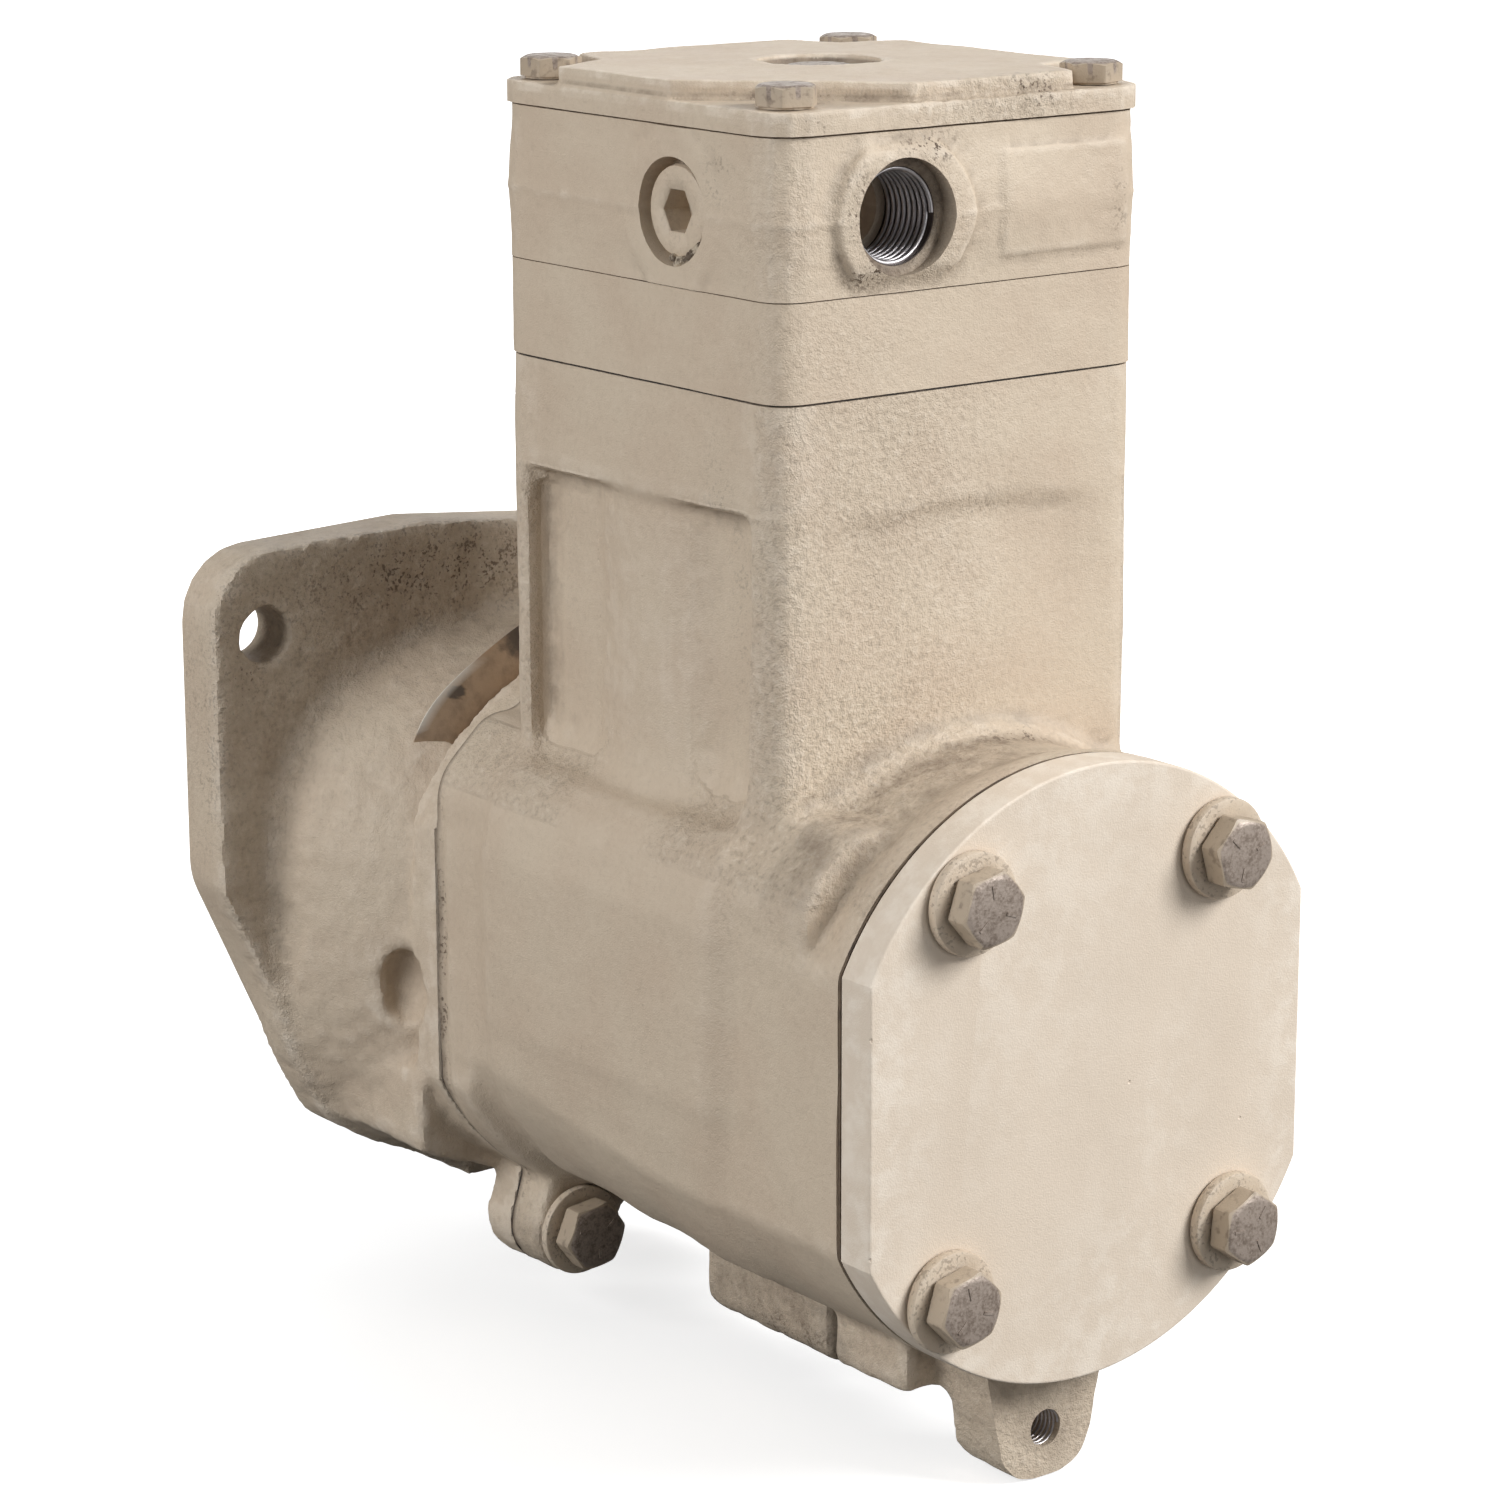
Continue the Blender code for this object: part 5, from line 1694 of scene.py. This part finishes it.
@dataclass
class CrankcaseAssembly:
    """The crankcase with its cylinder column, and the end cover in front of it."""

    finishes: Finishes
    voxel: float = 0.00125
    cover_bolts: tuple[tuple[float, float], ...] = (
        (-0.0379, 0.0479), (0.0379, 0.0479), (0.0432, -0.0444), (-0.0432, -0.0444))
    joint_bolts: tuple[tuple[float, float], ...] = (
        (-0.020, 0.077), (0.020, 0.077), (0.0326, -0.0753), (-0.0326, -0.0753))
    foot_hole: tuple[float, float] = (-0.0025, -0.0895)
    foot_radius: float = 0.0046
    cover_hole: float = 0.0053
    joint_hole: float = 0.0054
    chamber: float = 0.058
    bore: float = 0.04604
    shaft_hole: float = 0.019
    trim: float = 0.0002
    body_radius: float = 0.0730
    body_half: float = 0.0652

    def build_case(self) -> None:
        """Makes the crankcase casting."""
        low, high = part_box("crankcase")
        front, rear, deck = low.y, high.y, high.z
        holes = [Bore((x, front, z), Facing.FRONT, self.cover_hole, 0.019, 40) for x, z in self.cover_bolts]
        through = [Bore((x, rear, z), Facing.BACK, self.joint_hole, 0.0115, 40) for x, z in self.joint_bolts]
        foot_x, foot_z = self.foot_hole
        tapped = Bore((foot_x, front, foot_z), Facing.FRONT, self.foot_radius, 0.014, 40)
        cast = CastField("crankcase", self.voxel)
        cast.add(cast.rod(Bore((0, front, 0), Facing.FRONT, 0.060, rear - front)))
        cast.add(cast.rod(Bore((0, CYLINDER_Y, deck), Facing.UP, 0.048, 0.150)))
        for bore in holes + through + [tapped]:
            cast.add(cast.rod(bore, 0.0016))
        for x in (-0.045, 0.045):
            for y in (-0.045, 0.045):
                cast.add(cast.rod(Bore((x, CYLINDER_Y + y, deck), Facing.UP, 0.006, 0.03)))
        cast.extend(Axis.Z, 1, deck - 0.010)
        cast.extend(Axis.Y, -1, front + 0.004)
        cast.extend(Axis.Y, 1, rear - 0.004)
        self.add_body(cast)
        self.shape(cast)
        case = object_of("cast_crankcase", cast.mesh(), self.finishes.paint)
        cut(case, [block("above", (-0.1, -0.3, deck + self.trim), (0.1, 0, deck + 0.03)),
                   block("before", (-0.1, front - 0.03, -0.2), (0.1, front - self.trim, 0.12)),
                   block("behind", (-0.1, rear + self.trim, -0.2), (0.1, rear + 0.03, 0.12))])
        cut(case, [bore.tool() for bore in holes + through + [tapped]]
            + [Bore((0, rear, 0), Facing.BACK, self.chamber, 0.1275, 96).tool()])
        cut(case, [Bore((0, CYLINDER_Y, deck), Facing.UP, self.bore, 0.12, 96).tool(),
                   Bore((0, front, 0), Facing.FRONT, self.shaft_hole, 0.05, 64).tool()])
        cut(case, [bore.tool() for bore in CylinderHead(self.finishes).bolt_bores(deck, 0.02)])
        shade(case, CAST_SHARP)
        self.mark_case(case, cast)
        settle(case, "root", "tan_paint", "crankcase")
        thread = thread_tree().grow("foot_thread", points_mesh([(0, 0, 0)]),
                                    Facing.BACK.at((foot_x, front + 0.0008, foot_z)),
                                    Radius=tapped.radius + 0.0002, Pitch=0.0014, Turns=8.0, Taper=0.0,
                                    Material=self.finishes.thread)
        settle(thread, "root", "bare_steel")

    def add_body(self, cast: CastField) -> None:
        """Adds the flat-sided body from the rear joint to the end cover, with a neck and a bead in front.

        Args:
            cast: the crankcase's field.
        """
        y = cast.y - CYLINDER_Y
        above = smoothstep(cast.z, -0.012, 0.012)
        neck = (0.0036 * smoothstep(-y, 0.0570, 0.0600) * smoothstep(y, -0.0878, -0.0855)
                * smoothstep(cast.z, 0.030, 0.044))
        bead = 0.0006 * np.exp(-((y + 0.0555) / 0.0018) ** 2) * smoothstep(cast.z, 0.050, 0.058)
        belly = 0.0040 * smoothstep(y, -0.040, 0.050)
        reach = self.body_radius - above * (neck - bead) - (1 - above) * belly
        round_part = np.sqrt(cast.x ** 2 + cast.z ** 2) - reach
        ends = np.maximum(y - 0.0750, -0.0950 - y)
        body = np.maximum(np.maximum(round_part, np.abs(cast.x) - self.body_half), ends)
        beside = smoothstep(np.abs(cast.x), 0.040, 0.050) * smoothstep(-np.abs(y), -0.052, -0.042)
        cast.add(body, 0.0015 + 0.0125 * beside * np.ones_like(cast.distance))

    def shape(self, cast: CastField) -> None:
        """Adds the casting's soft forms: the ledge, the collar under the column, and the lumps.

        Args:
            cast: the crankcase's field.
        """
        y = cast.y - CYLINDER_Y
        arch = 0.1262 - 0.0030 * (cast.x / 0.04) ** 2
        under = smoothstep(arch - cast.z, -0.0006, 0.0012) * smoothstep(cast.z, 0.085, 0.118)
        wide = smoothstep(cast.x, -0.042, -0.026) * smoothstep(-cast.x, -0.046, -0.030)
        cast.distance += 0.0011 * under * wide * smoothstep(-y, 0.047, 0.050)
        cast.soften(1)
        crevice = np.exp(-((y - 0.0672) / 0.0013) ** 2) * smoothstep(-np.abs(cast.z), -0.045, -0.030)
        cast.distance += 0.0012 * crevice * smoothstep(np.abs(cast.x), 0.055, 0.060)
        grooves = (smoothstep(np.abs(cast.x), 0.047, 0.049) * smoothstep(cast.z, 0.045, 0.055)
                   * smoothstep(-cast.z, -0.127, -0.122) * smoothstep(np.abs(y), 0.012, 0.022)
                   * smoothstep(-np.abs(y), -0.044, -0.038))
        feet = smoothstep(-cast.z, 0.060, 0.072) * np.ones_like(cast.distance)
        everywhere = np.clip(grooves + feet * 0.6 + 0.18, 0, 1)
        cast.roughen(0.00042, 0.0034, seed=31, where=everywhere)
        cast.roughen(0.00035, 0.016, seed=32)

    def mark_case(self, case: bpy.types.Object, cast: CastField) -> None:
        """Tells the paint where the casting is rough, rubbed and dirty, and where highlights and shade are
        painted on it.

        Args:
            case: the finished casting.
            cast: its field.
        """
        points = points_of(case)
        # Convex edges are lightened as rubbed paint with a painted highlight, and concave corners darkened as
        # painted shade.
        wear_and_highlight, painted_shade = cast.edges(points)
        x, y, z = points.T
        from_axis = np.hypot(x, z)
        side = (np.abs(x) > 0.05) & (z > 0.045)
        # Painted highlight along the ridge of the bead in front of the column.
        painted_crest_highlight = np.exp(-((y + 0.1918) / 0.0016) ** 2) * smoothstep(from_axis, 0.070, 0.0715) * (z > 0.05)
        mark(case, "wear_and_highlight", wear_and_highlight * 0.5 + 0.9 * painted_crest_highlight * (from_axis < 0.077))
        # Painted shade: concave corners (less on the flat sides), the neck in front of the column and the
        # underside are darkened.
        faded = np.where(np.abs(x) > 0.048, 0.15 + 0.3 * smoothstep(z, 0.060, 0.085), 0.8)
        neck = smoothstep(-y, 0.1945, 0.1975) * smoothstep(y, -0.224, -0.210) * smoothstep(z, 0.035, 0.055)
        drain = smoothstep(-z, 0.070, 0.076) * smoothstep(y, -0.190, -0.182)
        mark(case, "painted_shade", painted_shade * faded + 0.95 * neck * smoothstep(-x, -0.030, 0.0) + 0.9 * drain)
        # Painted shade: a strip at the rear joint face is darkened, for the shade between the case and the
        # housing.
        mark(case, "darkening", smoothstep(y, -0.0681, -0.0670) * (from_axis > 0.061))
        front = smoothstep(z, 0.02, 0.06) * (y < CYLINDER_Y - 0.045) * smoothstep(-x, -0.03, 0.02)
        rough = 0.24 + 0.5 * front
        rough += 0.6 * side * smoothstep(np.abs(y - CYLINDER_Y), 0.012, 0.024) * (z < 0.128)
        rough += 0.5 * smoothstep(-z, 0.055, 0.07)
        rough += Spot((-0.03, -0.195, 0.066), (0.04, 0.014, 0.02), 0.7).at(points)
        mark(case, "rough", rough)
        mark(case, "grime_and_shade", spots_at([
            Spot((-0.051, -0.168, 0.11), (0.006, 0.008, 0.05), 0.6),
            Spot((-0.051, -0.100, 0.11), (0.006, 0.005, 0.05), 0.25),
            # Painted shadow under the ledge below the column.
            Spot((0.0, -0.190, 0.1245), (0.03, 0.005, 0.003), 0.45),
            # This patch, the next one and the last but one: painted shade in the neck below the bead, with
            # some soiling.
            Spot((0.012, -0.196, 0.0695), (0.018, 0.006, 0.004), 0.8),
            Spot((-0.03, -0.196, 0.062), (0.03, 0.006, 0.006), 0.4),
            # This patch and the next: painted shade along the joint to the housing.
            Spot((-0.0655, -0.0680, 0.0), (0.004, 0.0022, 0.05), 0.9),
            Spot((-0.045, -0.0690, -0.055), (0.02, 0.0022, 0.02), 0.7),
            Spot((-0.03, -0.200, 0.060), (0.035, 0.010, 0.012), 0.3),
            Spot((-0.01, -0.150, -0.09), (0.05, 0.035, 0.014), 0.9)], points))

    def build_cover(self) -> None:
        """Makes the end cover: a plate with a hard rim, and four washered holes."""
        low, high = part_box("end_cover")
        outline = flat_circle(high.z, high.x, 96)
        mesh = plate("end_cover", outline, -high.y, -low.y, Facing.FRONT.at((0, 0, 0)), 0.0006)
        # The end cover takes the lighter copy of the paint: painted light.
        cover = object_of("machined_end_cover", mesh, self.finishes.lit_cover_paint)
        cut(cover, [Bore((x, low.y, z), Facing.FRONT, self.cover_hole, 0.02, 40).tool()
                    for x, z in self.cover_bolts])
        nick = ((0, 0.0006), (0.0007, 0.0), (0, -0.0004))
        before, behind = low.y - 0.0001, low.y + 0.0001
        cut(cover, [turned("nick", nick, Facing.FRONT.at(place), 12)
                    for place in ((0.0115, before, -0.004), (0.047, before, -0.020),
                                  (-0.0655, behind, 0.021), (-0.0655, behind, -0.030))])
        shade(cover, MACHINED_SHARP)
        points = points_of(cover)
        # The rim and the flat sides are lightened: edge wear with a painted highlight.
        rim = smoothstep(np.hypot(points[:, 0], points[:, 2]), high.z - 0.0015, high.z - 0.0004)
        side = smoothstep(np.abs(points[:, 0]), high.x - 0.0012, high.x - 0.0003)
        mark(cover, "wear_and_highlight", np.maximum(rim, side) * 0.8)
        mark(cover, "rough", np.full(len(points), 0.05))
        mark(cover, "grime_and_shade", np.zeros(len(points)))
        settle(cover, "root", "tan_paint", "end_cover")

    def build(self) -> None:
        """Makes the crankcase and its end cover."""
        self.build_case()
        self.build_cover()
        dress(self.finishes.painted_gasket, "end_cover_gasket")


@dataclass
class DriveHousing:
    """The drive housing with its flange, and the sheet behind the joint."""

    finishes: Finishes
    voxel: float = 0.00125
    flange_holes: tuple[tuple[float, float], ...] = ((-0.082, 0.0755), (0.082, 0.071), (0.0, -0.067))
    hole_radius: float = 0.0072
    recess: float = 0.0505

    def barrel(self, cast: CastField) -> Mask:
        """Gives the distances to the barrel: a circle at the joint that widens to a soft oblong.

        Args:
            cast: the housing's field.

        Returns:
            The distances.
        """
        share = np.clip((cast.y + 0.056) / 0.040, 0, 1) ** 0.75
        wide, high, power = 0.0612 + 0.0205 * share, 0.0640 + 0.0080 * share, 2.0 + 0.8 * share
        ring = ((np.abs(cast.x) / wide) ** power + (np.abs(cast.z) / high) ** power) ** (1 / power)
        return np.maximum((ring - 1) * high, np.maximum(cast.y + 0.004, -0.056 - cast.y))

    def build_casting(self) -> None:
        """Makes the housing casting."""
        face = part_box("drive_housing")[1].y
        holes = [Bore((x, face, z), Facing.BACK, self.hole_radius, 0.05, 64) for x, z in self.flange_holes]
        cast = CastField("drive_housing", self.voxel)
        for bore in holes:
            cast.add(cast.rod(Bore(bore.mouth, Facing.BACK, 0.0085, 0.014)))
        cast.extend(Axis.Y, 1, face - 0.004)
        y = cast.y
        cast.add(self.barrel(cast), 0.0045)
        recess = np.sqrt(cast.x ** 2 + cast.z ** 2) - self.recess
        cast.carve(np.maximum(recess, -0.044 - y))
        joint = smoothstep(-y, 0.0600, 0.0625) * np.ones_like(cast.distance)
        pocket = np.sqrt(((cast.x + 0.0640) / 0.0055) ** 2 + ((y + 0.0500) / 0.008) ** 2
                         + ((cast.z + 0.012) / 0.010) ** 2)
        cast.carve((pocket - 1) * 0.006, 0.0015)
        cast.soften(1, np.clip(joint + smoothstep(y, -0.0225, -0.0190), 0, 1))
        skin = (1 - joint) * smoothstep(-y, 0.004, 0.010)
        cast.roughen(0.00040, 0.0030, seed=41, where=skin)
        cast.roughen(0.00040, 0.018, seed=42, where=skin)
        housing = object_of("cast_drive_housing", cast.mesh(), self.finishes.paint)
        cut(housing, [block("mating_face", (-0.2, face, -0.2), (0.2, face + 0.03, 0.2))])
        cut(housing, [bore.tool() for bore in holes])
        shade(housing, CAST_SHARP)
        points = points_of(housing)
        # Convex edges are lightened as rubbed paint with a painted highlight, and concave corners darkened as
        # painted shade.
        wear_and_highlight, painted_shade = cast.edges(points)
        x, y, z = points.T
        power = 2.8
        away = ((np.abs(x) / 0.0817) ** power + (np.abs(z) / 0.0720) ** power) ** (1 / power)
        # Painted highlight along the fillet at the foot of the barrel.
        bead = np.exp(-((away - 1.03) / 0.030) ** 2) * smoothstep(y, -0.022, -0.0185)
        mark(housing, "wear_and_highlight", wear_and_highlight * 0.8 + 0.7 * bead * (y < -0.012))
        mark(housing, "painted_shade", painted_shade * 0.35)
        back = np.exp(-((y + 0.016) / 0.003) ** 2)
        mark(housing, "rough", 0.3 + 0.5 * back + 0.2 * smoothstep(z, 0.02, 0.06))
        # The band and the next three patches: soiling with painted shade on the flange face beside the
        # column.
        mark(housing, "grime_and_shade", 0.22 * back * smoothstep(z, 0.02, 0.09) + spots_at([
            Spot((-0.03, -0.017, 0.086), (0.05, 0.008, 0.014), 0.55),
            Spot((-0.088, -0.017, 0.066), (0.006, 0.006, 0.012), 0.5),
            Spot((-0.096, -0.01, 0.05), (0.006, 0.02, 0.05), 0.3),
            # Painted shadow in the pocket beside the band.
            Spot((-0.064, -0.050, -0.012), (0.006, 0.008, 0.010), 0.15)], points))
        settle(housing, "root", "tan_paint", "drive_housing")

    def build_tag(self) -> None:
        """Makes the thin sheet that stands up behind the joint, bent back at its outer edge."""
        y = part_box("joint_tag")[0].y + 0.0003
        first, last, steps = 97.0, 140.0, 40
        bm = bmesh.new()
        rows = []
        for radius, shift, slant in ((0.0670, 0.0, -5.5), (0.0745, 0.0, -4.0), (0.0760, 0.0004, -3.6),
                                     (0.0800, 0.0018, -1.4), (0.0822, 0.0026, 0.0)):
            row = []
            for step in range(steps + 1):
                share = step / steps
                angle = math.radians(first + (last + slant - first) * share)
                reach = radius - 0.0022 * share ** 8 + 0.0004 * math.sin(9 * share)
                row.append(bm.verts.new((reach * math.cos(angle), y + shift, reach * math.sin(angle))))
            rows.append(row)
        for low, high in zip(rows, rows[1:]):
            for step in range(steps):
                bm.faces.new((low[step], high[step], high[step + 1], low[step + 1]))
        bmesh.ops.recalc_face_normals(bm, faces=bm.faces)
        tag = object_of("bent_tag", mesh_of(bm, "tag"), self.finishes.sheet)
        sheet = tag.modifiers.new("sheet", "SOLIDIFY")
        sheet.thickness, sheet.offset = 0.0005, 0.0
        applied(tag)
        shade(tag, CAST_SHARP)
        points = points_of(tag)
        reach = np.hypot(points[:, 0], points[:, 2])
        # Painted highlight along the bent outer edge.
        mark(tag, "wear_and_highlight", smoothstep(reach, 0.0806, 0.0814) * smoothstep(-points[:, 0], 0.040, 0.046))
        # The first patch is a painted dark reflection on the sheet; the second darkens the middle of the
        # sheet.
        mark(tag, "darkening", spots_at([Spot((-0.0490, -0.0520, 0.0620), (0.0035, 0.02, 0.0048), 1.0),
                                     Spot((-0.0240, -0.0520, 0.0740), (0.022, 0.02, 0.010), 0.8)], points))
        settle(tag, "root", "sheet_steel", "joint_tag")

    def build(self) -> None:
        """Makes the housing and the sheet behind the joint."""
        self.build_casting()
        self.build_tag()
        dress(self.finishes.gasket, "housing_gasket")


@dataclass
class RunningGear:
    """What turns and slides inside, and what shows of it in the drive flange."""

    finishes: Finishes
    travel: float = 0.0026

    def build_springs(self) -> None:
        """Replaces the three springs by refined copies, each with a mesh of its own."""
        rows = (("unloader_spring", "unloader_press", 0), ("intake_valve_spring", "intake_valve_lift", 0),
                ("discharge_valve_spring", "discharge_valve_lift", 1))
        for node, joint, seat in rows:
            spring = refined(node, self.finishes.spring, "root", "spring_steel", 0.0)
            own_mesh(spring)

    def build(self) -> None:
        """Gives the inner pieces their finishes, and replaces the springs, the crankshaft, the drive coupling
        and its nut by refined copies on their bodies.
        """
        f = self.finishes
        dress(f.bronze, "front_bush", "rear_bush", "thrust_washer")
        dress(f.rubber, "shaft_seal")
        self.build_springs()
        dress(f.bronze, "upper_big_end_shell", "lower_big_end_shell", "small_end_bush")
        dress(f.steel, "connecting_rod", "rod_cap", "rod_bolt_1", "rod_bolt_2", "wrist_pin", "top_ring",
              "second_ring", "oil_ring", "unloader_piston")
        dress(f.aluminium, "piston")
        dress(f.spring, "intake_valve_disc", "discharge_valve_disc", "coupling_key")
        for node, edge in (("crankshaft", 0.0006), ("drive_coupling", 0.0004), ("coupling_nut", 0.0005)):
            refined(node, f.steel, "crankshaft", "ground_steel", edge)


@dataclass(frozen=True)
class Lamp:
    """A square soft light, with its side in metres and its power in watts."""

    name: str
    place: Point
    size: float
    power: float

    def build(self, aim: Point) -> None:
        """Hangs the light.

        Args:
            aim: what it points at.
        """
        light = bpy.data.lights.new(self.name, "AREA")
        light.shape, light.size, light.energy = "SQUARE", self.size, self.power
        obj = bpy.data.objects.new(self.name, light)
        bpy.context.scene.collection.objects.link(obj)
        towards = Vector(aim) - Vector(self.place)
        obj.rotation_euler = towards.to_track_quat("-Z", "Y").to_euler()
        obj.location = self.place


@dataclass
class Studio:
    """The floor, the lights and the camera."""

    eye: Point = (-0.65598, -0.96109, 0.31966)
    turn: float = -0.656094440
    rise: float = 0.244372108
    roll: float = -0.00195368827
    sensor: float = 36.0
    lens: float = 36 * 4467.66591 / 1500
    floor_drop: float = 0.0004
    floor_half: float = 6.0
    middle: Point = (0, -0.13, 0.06)
    surroundings: float = 0.17
    backdrop: float = 1.2
    lamps: tuple[Lamp, ...] = (
        Lamp("key", (1.25, -1.9, 1.35), 1.1, 71),
        Lamp("low_fill", (0.3, -2.4, 0.15), 0.8, 6),
        Lamp("top", (0.2, 0.2, 2.4), 1.8, 6),
        Lamp("side", (-2.2, 0.1, 0.9), 1.4, 38),
        Lamp("rear", (1.4, 1.9, 1.2), 1.4, 10))

    def build_floor(self) -> None:
        """Lays a pale floor under the foot."""
        bm = bmesh.new()
        bmesh.ops.create_grid(bm, x_segments=1, y_segments=1, size=self.floor_half)
        bmesh.ops.translate(bm, vec=(0, 0, CAD_BOX[0].z - self.floor_drop), verts=bm.verts)
        g = Graph("pale_floor")
        seen = g.nodes.new("ShaderNodeLightPath").outputs["Is Camera Ray"]
        length = g.nodes.new("ShaderNodeVectorMath")
        length.operation = "LENGTH"
        g.links.new(g.place, length.inputs[0])
        pale, shadow = (0.16, 0.16, 0.16, 1), (0.8, 0.8, 0.8, 1)
        glow = g.ramp(length.outputs["Value"], 0.25, 1.1, 0.6, self.backdrop)
        material = g.finish(Base_Color=g.mix(seen, pale, shadow), Roughness=0.9, Specular_IOR_Level=0.0,
                            Emission_Color=(1, 1, 1, 1), Emission_Strength=g.math("MULTIPLY", seen, glow))
        object_of("floor", mesh_of(bm, "floor"), material)

    def build_world(self) -> None:
        """Gives the studio its even pale surroundings."""
        world = bpy.data.worlds.new("studio")
        bpy.context.scene.world = world
        world.use_nodes = True
        tree = world.node_tree
        background = tree.nodes["Background"]
        background.inputs["Color"].default_value = (1, 1, 1, 1)
        path = tree.nodes.new("ShaderNodeLightPath")
        strength = tree.nodes.new("ShaderNodeMapRange")
        strength.inputs["To Min"].default_value = self.surroundings
        strength.inputs["To Max"].default_value = self.backdrop
        tree.links.new(path.outputs["Is Camera Ray"], strength.inputs["Value"])
        tree.links.new(strength.outputs["Result"], background.inputs["Strength"])

    def build_camera(self) -> None:
        """Sets the camera."""
        sin, cos = math.sin, math.cos
        a, e = self.turn, self.rise
        back = Vector((sin(a) * cos(e), -cos(a) * cos(e), sin(e)))
        right = Vector((cos(a), sin(a), 0))
        up = back.cross(right)
        side = right * cos(self.roll) + up * sin(self.roll)
        top = up * cos(self.roll) - right * sin(self.roll)
        matrix = Matrix((side, top, back)).transposed().to_4x4()
        matrix.translation = Vector(self.eye)
        camera = bpy.data.cameras.new("camera")
        camera.lens, camera.sensor_width, camera.clip_start = self.lens, self.sensor, 0.01
        obj = bpy.data.objects.new("camera", camera)
        bpy.context.scene.collection.objects.link(obj)
        obj.matrix_world = matrix
        bpy.context.scene.camera = obj

    def build(self) -> None:
        """Makes the studio."""
        self.build_floor()
        self.build_world()
        for lamp in self.lamps:
            lamp.build(self.middle)
        self.build_camera()
        bpy.context.scene.view_settings.view_transform = "Standard"


def main() -> None:
    """Builds the compressor and its studio."""
    logging.basicConfig(level=logging.INFO, format="%(name)s %(message)s")
    Studio().build()
    finishes = Finishes()
    for assembly in (CylinderHead(finishes), CrankcaseAssembly(finishes), DriveHousing(finishes),
                     Fasteners(finishes), RunningGear(finishes)):
        assembly.build()


if __name__ == "__main__":
    main()
